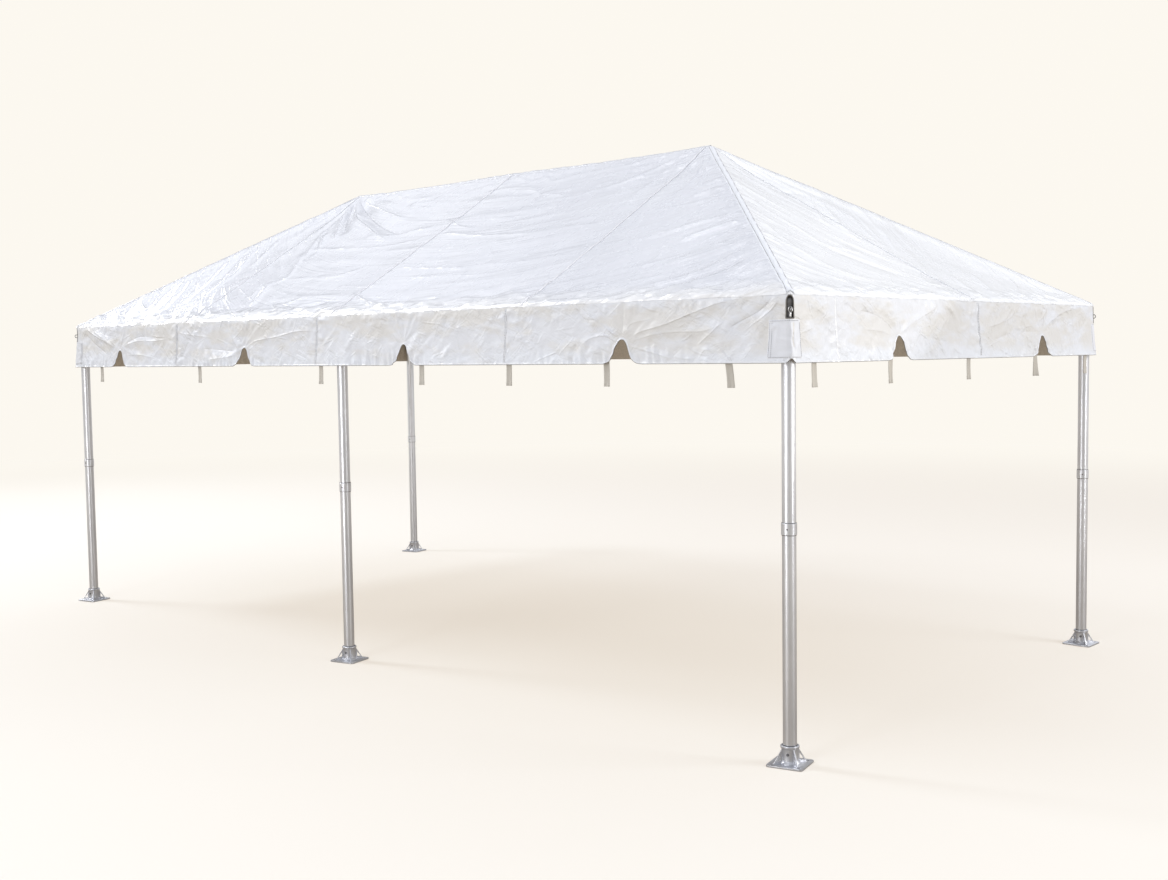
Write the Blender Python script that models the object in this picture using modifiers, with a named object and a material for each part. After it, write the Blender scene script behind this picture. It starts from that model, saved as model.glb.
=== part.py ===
"""Hip-roof frame marquee: aluminium tube frame on cast base plates, with a
white vinyl cover.  Metres, +Z up, origin on the floor under the middle.
+X runs along the long side, the side with the middle leg faces -Y.
Run with: blender --background --python part.py
"""
import math

import bmesh
import bpy
from mathutils import Euler, Vector

# ------------------------------------------------------------------ sizes
LEG_X = 3.048            # leg centres from the middle, along the length
LEG_Y = 1.524            # and across
TUBE_R = 0.03015         # 60.3 mm tube
BORE_R = 0.03045         # sockets clear the tube by 0.3 mm
GAP = 0.0003
SIDES = 24

EAVE_Z = 1.965           # axis of the eave tubes
RIDGE_Z = 2.883          # axis of the ridge tube
RIDGE_R = 1.492          # right ridge end
RIDGE_L = -1.755         # left ridge end

SLEEVE_R = 0.0345        # outside of the fitting sleeves
SLEEVE_L = 0.150         # sleeve length from the fitting's middle
SEAT = 0.085             # where a tube's end sits in its sleeve
HUB_R = 0.0380

PLATE = 0.163            # base plate
PLATE_T = 0.008
PLATE_CLIP = 0.014        # corner radius
HOLE_AT = 0.084          # stake holes, from the leg along the diagonals
HOLE_R = 0.007
SOCKET_FLOOR = 0.012
SOCKET_TOP = 0.085

JOINT_Z = 1.010          # where lower and upper leg meet
COLLAR_LOW = 0.985
COLLAR_TOP = 1.035
COLLAR_R = 0.0336

COVER_X = 3.089          # outer edge of the roof cover
COVER_Y = 1.565
COVER_EAVE = 2.000
COVER_RIDGE = 2.938
ROOF_T = 0.006
VAL_T = 0.005            # valance
VAL_TOP = 1.993
VAL_HEM = 1.707
VAL_SPLAY = 0.020
NOTCH_H = 0.112

FRONT_NOTCHES = (-2.44, -0.91, 0.61, 2.17)
RIGHT_NOTCHES = (-0.70, 0.84)
SLIT_W = 0.030           # corner slot, on each side of the corner
SLIT_LOW = 1.893

STRAP_W = 0.038
STRAP_T = 0.003
STRAP_END = 1.602
BAND_TOP = 1.800
BAND_H = 0.025
FRONT_STRAPS = (-2.70, -1.42, -0.12, 0.76, 1.43, 2.07, 2.78)
RIGHT_STRAPS = (-1.41, -0.77, -0.02, 0.77, 1.41)

# leg name, x, y, turn of its base plate in degrees
LEGS = (
    ("front_right", LEG_X, -LEG_Y, 14.0),
    ("front_left", -LEG_X, -LEG_Y, 14.0),
    ("front_middle", 0.0, -LEG_Y, 14.0),
    ("back_left", -LEG_X, LEG_Y, 14.0),
    ("back_right", LEG_X, LEG_Y, 0.0),
)

ALUMINIUM = (0.64, 0.64, 0.65)
CAST = (0.58, 0.59, 0.61)
DARK = (0.30, 0.30, 0.31)
VINYL = (0.90, 0.90, 0.92)
WEBBING = (0.82, 0.80, 0.77)


# ------------------------------------------------------------------ helpers
def clear_scene():
    for obj in list(bpy.data.objects):
        bpy.data.objects.remove(obj, do_unlink=True)


def new_collection(name):
    coll = bpy.data.collections.new(name)
    bpy.context.scene.collection.children.link(coll)
    return coll


def finish(obj, colour, rough, metal):
    mat = bpy.data.materials.new(obj.name)
    mat.use_nodes = True
    shader = mat.node_tree.nodes.get("Principled BSDF")
    shader.inputs["Base Color"].default_value = (*colour, 1.0)
    shader.inputs["Roughness"].default_value = rough
    shader.inputs["Metallic"].default_value = metal
    obj.data.materials.append(mat)


def mesh_object(name, bm, coll, location=(0, 0, 0), rotation=(0, 0, 0)):
    mesh = bpy.data.meshes.new(name)
    bm.to_mesh(mesh)
    bm.free()
    obj = bpy.data.objects.new(name, mesh)
    obj.location = location
    obj.rotation_euler = rotation
    coll.objects.link(obj)
    return obj


def helper(obj):
    obj.hide_render = True
    obj.display_type = "WIRE"
    return obj


def add_rod(bm, radius, start, end, sides=SIDES, roll=0.0):
    """A capped cylinder between two points."""
    start, end = Vector(start), Vector(end)
    axis = end - start
    turn = Vector((0, 0, 1)).rotation_difference(axis.normalized()).to_matrix().to_4x4()
    turn = turn @ Euler((0.0, 0.0, math.radians(roll))).to_matrix().to_4x4()
    turn.translation = (start + end) / 2
    bmesh.ops.create_cone(bm, cap_ends=True, cap_tris=False, segments=sides,
                          radius1=radius, radius2=radius, depth=axis.length, matrix=turn)


def add_block(bm, low, high):
    made = bmesh.ops.create_cube(bm, size=1.0)
    for vert in made["verts"]:
        for axis in range(3):
            vert.co[axis] = low[axis] if vert.co[axis] < 0 else high[axis]
    return made["verts"]


def add_upright(bm, profile, half, angle):
    """Four (distance, height) points as a wall of thickness 2 * half that
    stands on the ray at the given angle."""
    made = bmesh.ops.create_cube(bm, size=1.0)
    c, s = math.cos(angle), math.sin(angle)
    for vert in made["verts"]:
        right, up = vert.co.x > 0, vert.co.z > 0
        index = (0, 1, 3, 2)[(1 if right else 0) + (2 if up else 0)]
        dist, height = profile[index]
        side = half if vert.co.y > 0 else -half
        vert.co = (dist * c - side * s, dist * s + side * c, height)


def boolean(obj, other, operation):
    mod = obj.modifiers.new(operation.lower() + "_" + other.name, "BOOLEAN")
    mod.operation = operation
    mod.solver = "EXACT"
    mod.object = other


def turned(name, profile, coll, location=(0, 0, 0), rotation=(0, 0, 0), steps=SIDES):
    """A profile of (radius, height) points turned about Z."""
    bm = bmesh.new()
    verts = [bm.verts.new((r, 0.0, z)) for r, z in profile]
    for a, b in zip(verts, verts[1:]):
        bm.edges.new((a, b))
    mesh = bpy.data.meshes.new(name)
    bm.to_mesh(mesh)
    bm.free()
    obj = bpy.data.objects.new(name, mesh)
    obj.location = location
    obj.rotation_euler = rotation
    coll.objects.link(obj)
    mod = obj.modifiers.new("turn", "SCREW")
    mod.axis = "Z"
    mod.angle = math.tau
    mod.steps = steps
    mod.render_steps = steps
    mod.use_merge_vertices = True
    mod.merge_threshold = 0.0001
    mod.use_normal_calculate = True
    return obj


def outline(name, points, thickness, coll, location, rotation):
    """A flat closed outline given half its thickness each way."""
    curve = bpy.data.curves.new(name, "CURVE")
    curve.dimensions = "2D"
    curve.fill_mode = "BOTH"
    curve.extrude = thickness / 2
    spline = curve.splines.new("POLY")
    spline.points.add(len(points) - 1)
    for point, (x, y) in zip(spline.points, points):
        point.co = (x, y, 0.0, 1.0)
    spline.use_cyclic_u = True
    obj = bpy.data.objects.new(name, curve)
    obj.location = location
    obj.rotation_euler = rotation
    coll.objects.link(obj)
    return obj


# ------------------------------------------------------------------ pieces
def base_plate(name, x, y, turn, coll, cutters):
    place, spin = (x, y, 0.0), (0.0, 0.0, math.radians(turn))
    plate = turned("base_plate_" + name, (
        (0.0, 0.0020), (0.0455, 0.0020), (0.0455, 0.0100), (0.0410, 0.0150),
        (0.0375, 0.0200), (0.0366, 0.0710), (0.0401, 0.0735), (0.0411, 0.0785),
        (0.0403, 0.0835), (0.0382, SOCKET_TOP), (BORE_R, SOCKET_TOP),
        (BORE_R, SOCKET_FLOOR), (0.0, SOCKET_FLOOR)), coll, place, spin)

    bm = bmesh.new()
    half = PLATE / 2
    add_block(bm, (-half, -half, 0.0), (half, half, PLATE_T))
    corners = [e for e in bm.edges
               if abs(e.verts[0].co.x - e.verts[1].co.x) < 1e-6
               and abs(e.verts[0].co.y - e.verts[1].co.y) < 1e-6]
    bmesh.ops.bevel(bm, geom=corners, offset=PLATE_CLIP, segments=4, profile=0.5,
                    affect="EDGES")
    boolean(plate, helper(mesh_object("foot_" + name, bm, cutters, place, spin)), "UNION")

    bm = bmesh.new()
    for quarter in range(4):
        angle = math.radians(45 + 90 * quarter)
        add_upright(bm, ((0.0335, 0.0040), (0.0755, 0.0040), (0.0755, 0.0110),
                         (0.0335, 0.0770)), 0.0032, angle)
    boolean(plate, helper(mesh_object("ribs_" + name, bm, cutters, place, spin)), "UNION")

    bm = bmesh.new()
    for quarter in range(4):
        angle = math.radians(45 + 90 * quarter)
        add_upright(bm, ((0.0435, 0.0200), (0.0635, 0.0200), (0.0610, 0.0240),
                         (0.0435, 0.0490)), 0.0060, angle)
        hole = Vector((math.cos(angle), math.sin(angle), 0)) * HOLE_AT
        add_rod(bm, HOLE_R, hole - Vector((0, 0, 0.01)), hole + Vector((0, 0, 0.02)), 12)
    boolean(plate, helper(mesh_object("windows_" + name, bm, cutters, place, spin)), "DIFFERENCE")
    finish(plate, CAST, 0.45, 0.9)
    return plate


def lower_leg(name, x, y, coll):
    leg = turned("lower_leg_" + name, (
        (0.0, SOCKET_FLOOR + GAP), (TUBE_R, SOCKET_FLOOR + GAP), (TUBE_R, COLLAR_LOW),
        (COLLAR_R - 0.0012, COLLAR_LOW), (COLLAR_R, COLLAR_LOW + 0.0014),
        (COLLAR_R, COLLAR_TOP - 0.0014), (COLLAR_R - 0.0012, COLLAR_TOP),
        (BORE_R, COLLAR_TOP), (BORE_R, JOINT_Z), (0.0, JOINT_Z)), coll, (x, y, 0.0))
    finish(leg, ALUMINIUM, 0.32, 1.0)
    return leg


def tube(name, start, end, coll):
    """A round tube as a solid rod from start to end."""
    start, end = Vector(start), Vector(end)
    axis = end - start
    bm = bmesh.new()
    bmesh.ops.create_cone(bm, cap_ends=True, cap_tris=False, segments=SIDES,
                          radius1=TUBE_R, radius2=TUBE_R, depth=axis.length)
    obj = mesh_object(name, bm, coll, (start + end) / 2)
    obj.rotation_euler = Vector((0, 0, 1)).rotation_difference(axis.normalized()).to_euler()
    finish(obj, ALUMINIUM, 0.32, 1.0)
    return obj


def between(name, a, b, coll):
    """A tube between two fittings, seated in the sleeves of both."""
    a, b = Vector(a), Vector(b)
    unit = (b - a).normalized()
    return tube(name, a + unit * (SEAT + GAP), b - unit * (SEAT + GAP), coll)


def fitting(name, place, directions, coll, cutters, ring=None):
    """A hub with one sleeve for each tube direction."""
    place = Vector(place)
    bm = bmesh.new()
    bmesh.ops.create_uvsphere(bm, u_segments=14, v_segments=9, radius=HUB_R)
    for vert in bm.verts:
        vert.co.rotate(Euler((0.37, 0.53, 0.21)))
    hub = mesh_object(name, bm, coll, place)
    for index, way in enumerate(directions):
        bm = bmesh.new()
        unit = Vector(way).normalized()
        add_rod(bm, SLEEVE_R, unit * (0.004 + 0.0007 * index), unit * SLEEVE_L,
                roll=1.7 + 2.3 * index)
        boolean(hub, helper(mesh_object("%s_sleeve_%d" % (name, index), bm, cutters, place)),
                "UNION")
    if ring is not None:
        out = Vector((ring[0], ring[1], 0)).normalized()
        bm = bmesh.new()
        add_rod(bm, 0.0035, out * 0.0300 + Vector((0, 0, -0.034)),
                out * 0.0470 + Vector((0, 0, -0.034)), 8, roll=11.0)
        boolean(hub, helper(mesh_object(name + "_stem", bm, cutters, place)), "UNION")
        bpy.ops.mesh.primitive_torus_add(
            major_segments=14, minor_segments=6, major_radius=0.0105, minor_radius=0.0024,
            location=place + out * 0.0565 + Vector((0, 0, -0.034)),
            rotation=Euler((math.pi / 2, 0, math.atan2(out.y, out.x))))
        eye = bpy.context.object
        eye.name = name + "_eye"
        for owner in list(eye.users_collection):
            owner.objects.unlink(eye)
        cutters.objects.link(eye)
        boolean(hub, helper(eye), "UNION")
    bm = bmesh.new()
    for way in directions:
        unit = Vector(way).normalized()
        add_rod(bm, BORE_R, unit * SEAT, unit * (SLEEVE_L + 0.02))
    boolean(hub, helper(mesh_object(name + "_bores", bm, cutters, place)), "DIFFERENCE")
    finish(hub, DARK, 0.45, 0.8)
    return hub


def roof_slope(name, plan, heights, coll):
    """A plan outline of 3 or 4 corners, each at its own height, as a skin of
    thickness ROOF_T measured straight down."""
    count = len(plan)
    bm = bmesh.new()
    made = bmesh.ops.create_cone(bm, cap_ends=True, cap_tris=False, segments=count,
                                 radius1=1.0, radius2=1.0, depth=1.0)
    for vert in made["verts"]:
        turn = math.atan2(vert.co.x, vert.co.y) % math.tau
        index = int(round(turn / (math.tau / count))) % count
        down = 0.0 if vert.co.z > 0 else ROOF_T
        vert.co = (plan[index][0], plan[index][1], heights[index] - down)
    obj = mesh_object(name, bm, coll)
    finish(obj, VINYL, 0.35, 0.0)
    return obj


def notch(centre, hem, tall):
    """Points of one bell-shaped notch, from its right foot round to its left."""
    shape = ((0.086, 0.000), (0.066, 0.005), (0.051, 0.018), (0.041, 0.038),
             (0.032, 0.062), (0.0255, 0.082), (0.0195, 0.097), (0.0110, 0.108),
             (0.0, 0.112))
    right = [(centre + x, hem + y * tall / 0.112) for x, y in shape]
    left = [(centre - x, hem + y * tall / 0.112) for x, y in reversed(shape[:-1])]
    return right + left


def valance(name, half_top, half_hem, notches, location, turn, coll):
    """A hanging skirt, its outline drawn hanging down from y = 0."""
    lean = math.atan2(VAL_SPLAY, VAL_TOP - VAL_HEM)
    drop = math.hypot(VAL_SPLAY, VAL_TOP - VAL_HEM)
    slit = (VAL_TOP - SLIT_LOW) * drop / (VAL_TOP - VAL_HEM)
    at_slit = half_top + (half_hem - half_top) * slit / drop
    points = [(-half_top + SLIT_W, 0.0), (-half_top + SLIT_W, -slit), (-at_slit, -slit),
              (-half_hem, -drop)]
    for centre in notches:
        points += reversed(notch(centre, -drop, NOTCH_H))
    points += [(half_hem, -drop), (at_slit, -slit), (half_top - SLIT_W, -slit),
               (half_top - SLIT_W, 0.0)]
    obj = outline(name, points, VAL_T, coll, location,
                  (math.pi / 2 - lean, 0.0, turn))
    finish(obj, VINYL, 0.4, 0.0)
    return obj


def tie_straps(name, half, centres, location, turn, coll):
    """Webbing band behind the valance with its hanging tie straps."""
    low = STRAP_END - BAND_TOP
    points = [(-half, 0.0), (-half, -BAND_H)]
    for centre in centres:
        points += [(centre - STRAP_W / 2, -BAND_H), (centre - STRAP_W / 2, low),
                   (centre + STRAP_W / 2, low), (centre + STRAP_W / 2, -BAND_H)]
    points += [(half, -BAND_H), (half, 0.0)]
    obj = outline(name, points, STRAP_T, coll, location, (math.pi / 2, 0.0, turn))
    finish(obj, WEBBING, 0.8, 0.0)
    return obj


# ------------------------------------------------------------------ build
def main():
    clear_scene()
    tent = new_collection("marquee_tent")
    cutters = new_collection("cutters")

    for name, x, y, turn in LEGS:
        base_plate(name, x, y, turn, tent, cutters)
        lower_leg(name, x, y, tent)
        tube("upper_leg_" + name, (x, y, JOINT_Z + GAP), (x, y, EAVE_Z - SEAT - GAP), tent)

    eave = {
        "front_right": Vector((LEG_X, -LEG_Y, EAVE_Z)),
        "front_left": Vector((-LEG_X, -LEG_Y, EAVE_Z)),
        "back_left": Vector((-LEG_X, LEG_Y, EAVE_Z)),
        "back_right": Vector((LEG_X, LEG_Y, EAVE_Z)),
        "front_middle": Vector((0.0, -LEG_Y, EAVE_Z)),
        "back_middle": Vector((0.0, LEG_Y, EAVE_Z)),
    }
    crown_right = Vector((RIDGE_R, 0.0, RIDGE_Z))
    crown_left = Vector((RIDGE_L, 0.0, RIDGE_Z))
    crown_middle = Vector((0.0, 0.0, RIDGE_Z))

    for corner in ("front_right", "front_left", "back_left", "back_right"):
        place = eave[corner]
        crown = crown_right if place.x > 0 else crown_left
        sx, sy = math.copysign(1, place.x), math.copysign(1, place.y)
        fitting("corner_fitting_" + corner, place,
                [(0, 0, -1), (-sx, 0, 0), (0, -sy, 0), crown - place], tent, cutters,
                ring=(sx, sy))
        between("hip_rafter_" + corner, place, crown, tent)

    fitting("side_tee_front", eave["front_middle"],
            [(1, 0, 0), (-1, 0, 0), (0, 0, -1), crown_middle - eave["front_middle"]],
            tent, cutters)
    fitting("side_tee_back", eave["back_middle"],
            [(1, 0, 0), (-1, 0, 0), crown_middle - eave["back_middle"]], tent, cutters)
    fitting("crown_fitting_right", crown_right,
            [(-1, 0, 0), eave["front_right"] - crown_right,
             eave["back_right"] - crown_right], tent, cutters)
    fitting("crown_fitting_left", crown_left,
            [(1, 0, 0), eave["front_left"] - crown_left,
             eave["back_left"] - crown_left], tent, cutters)
    fitting("ridge_tee", crown_middle,
            [(1, 0, 0), (-1, 0, 0), eave["front_middle"] - crown_middle,
             eave["back_middle"] - crown_middle], tent, cutters)

    between("eave_tube_front_right", eave["front_middle"], eave["front_right"], tent)
    between("eave_tube_front_left", eave["front_left"], eave["front_middle"], tent)
    between("eave_tube_back_right", eave["back_middle"], eave["back_right"], tent)
    between("eave_tube_back_left", eave["back_left"], eave["back_middle"], tent)
    between("eave_tube_right_end", eave["front_right"], eave["back_right"], tent)
    between("eave_tube_left_end", eave["front_left"], eave["back_left"], tent)
    between("ridge_tube_right", crown_middle, crown_right, tent)
    between("ridge_tube_left", crown_left, crown_middle, tent)
    between("middle_rafter_front", eave["front_middle"], crown_middle, tent)
    between("middle_rafter_back", eave["back_middle"], crown_middle, tent)

    # roof slopes, drawn in plan clockwise from the left eave corner; the edges
    # at hips and ridge stay back by 0.3 mm
    slack = 0.0003
    cx, cy = COVER_X, COVER_Y
    eave_z, ridge_z = COVER_EAVE, COVER_RIDGE
    roof_slope("roof_slope_front", ((-cx + 2 * slack, -cy), (RIDGE_L, -slack),
                                    (RIDGE_R, -slack), (cx - 2 * slack, -cy)),
               (eave_z, ridge_z, ridge_z, eave_z), tent)
    roof_slope("roof_slope_back", ((cx - 2 * slack, cy), (RIDGE_R, slack),
                                   (RIDGE_L, slack), (-cx + 2 * slack, cy)),
               (eave_z, ridge_z, ridge_z, eave_z), tent)
    roof_slope("roof_slope_right_end", ((cx, -cy + 2 * slack), (RIDGE_R + 2 * slack, 0.0),
                                        (cx, cy - 2 * slack)),
               (eave_z, ridge_z, eave_z), tent)
    roof_slope("roof_slope_left_end", ((-cx, cy - 2 * slack), (RIDGE_L - 2 * slack, 0.0),
                                       (-cx, -cy + 2 * slack)),
               (eave_z, ridge_z, eave_z), tent)

    # valances: the long ones cover the ends of the short ones
    mid_x, mid_y = COVER_X - VAL_T / 2, COVER_Y - VAL_T / 2
    inner = COVER_Y - VAL_T - 0.0006
    back_notches = tuple(-x for x in reversed(FRONT_NOTCHES))
    left_notches = tuple(-y for y in reversed(RIGHT_NOTCHES))
    valance("valance_front", COVER_X, COVER_X + VAL_SPLAY, FRONT_NOTCHES,
            (0.0, -mid_y, VAL_TOP), 0.0, tent)
    valance("valance_back", COVER_X, COVER_X + VAL_SPLAY, back_notches,
            (0.0, mid_y, VAL_TOP), math.pi, tent)
    valance("valance_right_end", inner, inner + VAL_SPLAY, RIGHT_NOTCHES,
            (mid_x, 0.0, VAL_TOP), math.pi / 2, tent)
    valance("valance_left_end", inner, inner + VAL_SPLAY, left_notches,
            (-mid_x, 0.0, VAL_TOP), -math.pi / 2, tent)

    # tie straps, just inside the valances
    in_x = COVER_X - VAL_T - 0.0010 - STRAP_T / 2 + 0.0100
    in_y = COVER_Y - VAL_T - 0.0010 - STRAP_T / 2 + 0.0100
    tie_straps("tie_straps_front", 3.000, FRONT_STRAPS, (0.0, -in_y, BAND_TOP), 0.0, tent)
    tie_straps("tie_straps_right_end", 1.480, RIGHT_STRAPS, (in_x, 0.0, BAND_TOP),
               math.pi / 2, tent)


main()
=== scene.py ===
"""Looks for the frame marquee: wrinkled vinyl cover, webbing straps, brushed
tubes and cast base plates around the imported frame.  Metres, +Z up."""

import math

import bmesh
import bpy
import numpy as np
from mathutils import Euler, Matrix, Vector


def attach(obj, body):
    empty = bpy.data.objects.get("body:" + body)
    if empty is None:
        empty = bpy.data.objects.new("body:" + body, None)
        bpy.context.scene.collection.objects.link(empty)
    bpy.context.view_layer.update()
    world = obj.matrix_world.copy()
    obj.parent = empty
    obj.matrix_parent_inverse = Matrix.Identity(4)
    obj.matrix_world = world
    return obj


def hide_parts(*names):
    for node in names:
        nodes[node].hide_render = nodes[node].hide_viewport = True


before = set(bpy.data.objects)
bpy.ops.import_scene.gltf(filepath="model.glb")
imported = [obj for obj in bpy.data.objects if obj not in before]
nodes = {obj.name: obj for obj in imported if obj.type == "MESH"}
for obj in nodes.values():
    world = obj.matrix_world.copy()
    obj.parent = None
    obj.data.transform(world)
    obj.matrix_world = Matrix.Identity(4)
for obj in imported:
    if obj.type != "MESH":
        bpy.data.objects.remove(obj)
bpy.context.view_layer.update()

# ------------------------------------------------------------------ sizes
LEG_X, LEG_Y = 3.048, 1.524
TUBE_R = 0.03015
COVER_X, COVER_Y = 3.089, 1.565
EAVE_Z, RIDGE_Z = 2.000, 2.938
PEAK_R, PEAK_L = 1.492, -1.755
VAL_TOP, VAL_HEM, VAL_SPLAY = 1.993, 1.707, 0.020
FRONT_NOTCHES = (-2.44, -0.91, 0.61, 2.17)
RIGHT_NOTCHES = (-0.70, 0.84)
SLIT_LOW = 1.893
FRONT_STRAPS = (-2.70, -1.42, -0.12, 0.76, 1.43, 2.07, 2.78)
RIGHT_STRAPS = (-1.41, -0.77, -0.02, 0.77, 1.41)
LEGS = (("front_right", LEG_X, -LEG_Y, 14.0), ("front_left", -LEG_X, -LEG_Y, 14.0),
        ("front_middle", 0.0, -LEG_Y, 14.0), ("back_left", -LEG_X, LEG_Y, 14.0),
        ("back_right", LEG_X, LEG_Y, 0.0))


# ------------------------------------------------------------------ meshes
def build_mesh(name, verts, faces, material, uv=None, smooth=True, slots=None, loop_uvs=None, fields=None):
    """One mesh object from arrays; faces is (n, 3) or (n, 4).  loop_uvs are
    named layers per face corner, fields are named vectors per vertex."""
    verts = np.asarray(verts, np.float32).reshape(-1, 3)
    faces = np.asarray(faces, np.int32)
    count, sides = faces.shape
    mesh = bpy.data.meshes.new(name)
    mesh.vertices.add(len(verts))
    mesh.vertices.foreach_set("co", verts.ravel())
    mesh.loops.add(count * sides)
    mesh.loops.foreach_set("vertex_index", faces.ravel())
    mesh.polygons.add(count)
    mesh.polygons.foreach_set("loop_start", np.arange(0, count * sides, sides, dtype=np.int32))
    mesh.update(calc_edges=True)
    if uv is not None:
        layer = mesh.uv_layers.new(name="UVMap")
        layer.data.foreach_set("uv", np.asarray(uv, np.float32)[faces.ravel()].ravel())
    for key, values in (loop_uvs or {}).items():
        layer = mesh.uv_layers.new(name=key)
        layer.data.foreach_set("uv", np.asarray(values, np.float32).ravel())
    for key, values in (fields or {}).items():
        layer = mesh.attributes.new(key, "FLOAT_VECTOR", "POINT")
        layer.data.foreach_set("vector", np.asarray(values, np.float32).ravel())
    mesh.polygons.foreach_set("use_smooth", np.full(count, smooth))
    mesh.validate()
    mesh.update()
    for mat in (material if isinstance(material, (list, tuple)) else [material]):
        mesh.materials.append(mat)
    if slots is not None:
        mesh.polygons.foreach_set("material_index", np.asarray(slots, np.int32))
    obj = bpy.data.objects.new(name, mesh)
    bpy.context.scene.collection.objects.link(obj)
    return obj


def grid_faces(rows, cols, wrap=False):
    """Quads of a rows x cols vertex grid; wrap closes the rows into a loop."""
    r = np.arange(rows if wrap else rows - 1)
    c = np.arange(cols - 1)
    rr, cc = np.meshgrid(r, c, indexing="ij")
    nxt = (rr + 1) % rows
    return np.stack([rr * cols + cc, nxt * cols + cc, nxt * cols + cc + 1, rr * cols + cc + 1],
                    axis=-1).reshape(-1, 4)


def join_parts(parts):
    """Joins (verts, faces) pairs, all with quads or all with triangles."""
    verts, faces, base = [], [], 0
    for v, f in parts:
        verts.append(np.asarray(v, float).reshape(-1, 3))
        faces.append(np.asarray(f, int) + base)
        base += len(verts[-1])
    return np.concatenate(verts), np.concatenate(faces)


def unit(v):
    return v / np.maximum(np.linalg.norm(v, axis=-1, keepdims=True), 1e-12)


def tube_along(points, radius, sides=8, caps=True):
    """Round tube along points, with closed ends: (verts, quads)."""
    points = np.asarray(points, float)
    tangent = unit(np.gradient(points, axis=0))
    side = np.cross(tangent[0], (0.0, 0.0, 1.0))
    if np.linalg.norm(side) < 0.1:
        side = np.cross(tangent[0], (1.0, 0.0, 0.0))
    side = side / np.linalg.norm(side)
    rings = []
    angle = np.arange(sides) * math.tau / sides
    for point, way in zip(points, tangent):
        side = side - way * side.dot(way)
        side = side / np.linalg.norm(side)
        other = np.cross(way, side)
        rings.append(point + radius * (np.cos(angle)[:, None] * side + np.sin(angle)[:, None] * other))
    if caps:
        rings.insert(0, np.repeat(points[:1], sides, 0))
        rings.append(np.repeat(points[-1:], sides, 0))
    rings = np.array(rings)
    rows = len(rings)
    verts = rings.reshape(-1, 3)
    r, c = np.meshgrid(np.arange(rows - 1), np.arange(sides), indexing="ij")
    n = (c + 1) % sides
    faces = np.stack([r * sides + c, r * sides + n, (r + 1) * sides + n, (r + 1) * sides + c], -1)
    return verts, faces.reshape(-1, 4)


# ------------------------------------------------------------------ materials
def new_material(name):
    mat = bpy.data.materials.new(name)
    mat.use_nodes = True
    tree = mat.node_tree
    return mat, tree, tree.nodes["Principled BSDF"]


def node(tree, kind, **values):
    made = tree.nodes.new(kind)
    for key, value in values.items():
        if key in made.inputs:
            made.inputs[key].default_value = value
        else:
            setattr(made, key, value)
    return made


def mapped(tree, source, scale, turn=0.0):
    """Coordinates from UV (metres) or Object, turned then scaled."""
    coord = node(tree, "ShaderNodeTexCoord")
    first = node(tree, "ShaderNodeMapping")
    first.inputs["Rotation"].default_value = (0.0, 0.0, math.radians(turn))
    second = node(tree, "ShaderNodeMapping")
    second.inputs["Scale"].default_value = scale
    tree.links.new(coord.outputs[source], first.inputs["Vector"])
    tree.links.new(first.outputs["Vector"], second.inputs["Vector"])
    return second.outputs["Vector"]


def noise(tree, vector, scale, detail=2.0, rough=0.5, distortion=0.0):
    made = node(tree, "ShaderNodeTexNoise")
    made.inputs["Scale"].default_value = scale
    made.inputs["Detail"].default_value = detail
    made.inputs["Roughness"].default_value = rough
    made.inputs["Distortion"].default_value = distortion
    tree.links.new(vector, made.inputs["Vector"])
    return made.outputs["Fac"]


def ramp(tree, fac, stops):
    made = node(tree, "ShaderNodeValToRGB")
    elements = made.color_ramp.elements
    while len(elements) < len(stops):
        elements.new(0.5)
    for element, (place, colour) in zip(elements, stops):
        element.position = place
        element.color = (*colour, 1.0) if len(colour) == 3 else colour
    tree.links.new(fac, made.inputs["Fac"])
    return made.outputs["Color"]


def bump(tree, height, strength, distance, before=None):
    made = node(tree, "ShaderNodeBump")
    made.inputs["Strength"].default_value = strength
    made.inputs["Distance"].default_value = distance
    tree.links.new(height, made.inputs["Height"])
    if before is not None:
        tree.links.new(before, made.inputs["Normal"])
    return made.outputs["Normal"]


def add_maths(tree, a, b, operation="ADD"):
    made = node(tree, "ShaderNodeMath", operation=operation)
    for socket, value in zip(made.inputs, (a, b)):
        if isinstance(value, (int, float)):
            socket.default_value = value
        else:
            tree.links.new(value, socket)
    return made.outputs[0]


def crease_height(tree, name):
    """Height of the sharp creases: a field holds (offset over width, height)
    of the nearest crease."""
    field = node(tree, "ShaderNodeAttribute", attribute_name=name)
    split = node(tree, "ShaderNodeSeparateXYZ")
    tree.links.new(field.outputs["Vector"], split.inputs[0])
    square = add_maths(tree, split.outputs["X"], split.outputs["X"], "MULTIPLY")
    bell = add_maths(tree, 2.718282, add_maths(tree, square, -1.0, "MULTIPLY"), "POWER")
    return add_maths(tree, bell, split.outputs["Y"], "MULTIPLY")


def ridged(tree, vector, scale, detail=2.0, rough=0.5, distortion=0.0):
    """Noise folded at its middle, so it shows sharp crests."""
    fac = noise(tree, vector, scale, detail, rough, distortion)
    off = node(tree, "ShaderNodeMath", operation="ABSOLUTE")
    tree.links.new(add_maths(tree, fac, 0.5, "SUBTRACT"), off.inputs[0])
    return add_maths(tree, 1.0, add_maths(tree, off.outputs[0], 4.0, "MULTIPLY"), "SUBTRACT")


def uv_layer(tree, name, scale, turn=0.0):
    coord = node(tree, "ShaderNodeUVMap", uv_map=name)
    first = node(tree, "ShaderNodeMapping")
    first.inputs["Rotation"].default_value = (0.0, 0.0, math.radians(turn))
    made = node(tree, "ShaderNodeMapping")
    made.inputs["Scale"].default_value = scale
    tree.links.new(coord.outputs["UV"], first.inputs["Vector"])
    tree.links.new(first.outputs["Vector"], made.inputs["Vector"])
    return made.outputs["Vector"]


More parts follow.
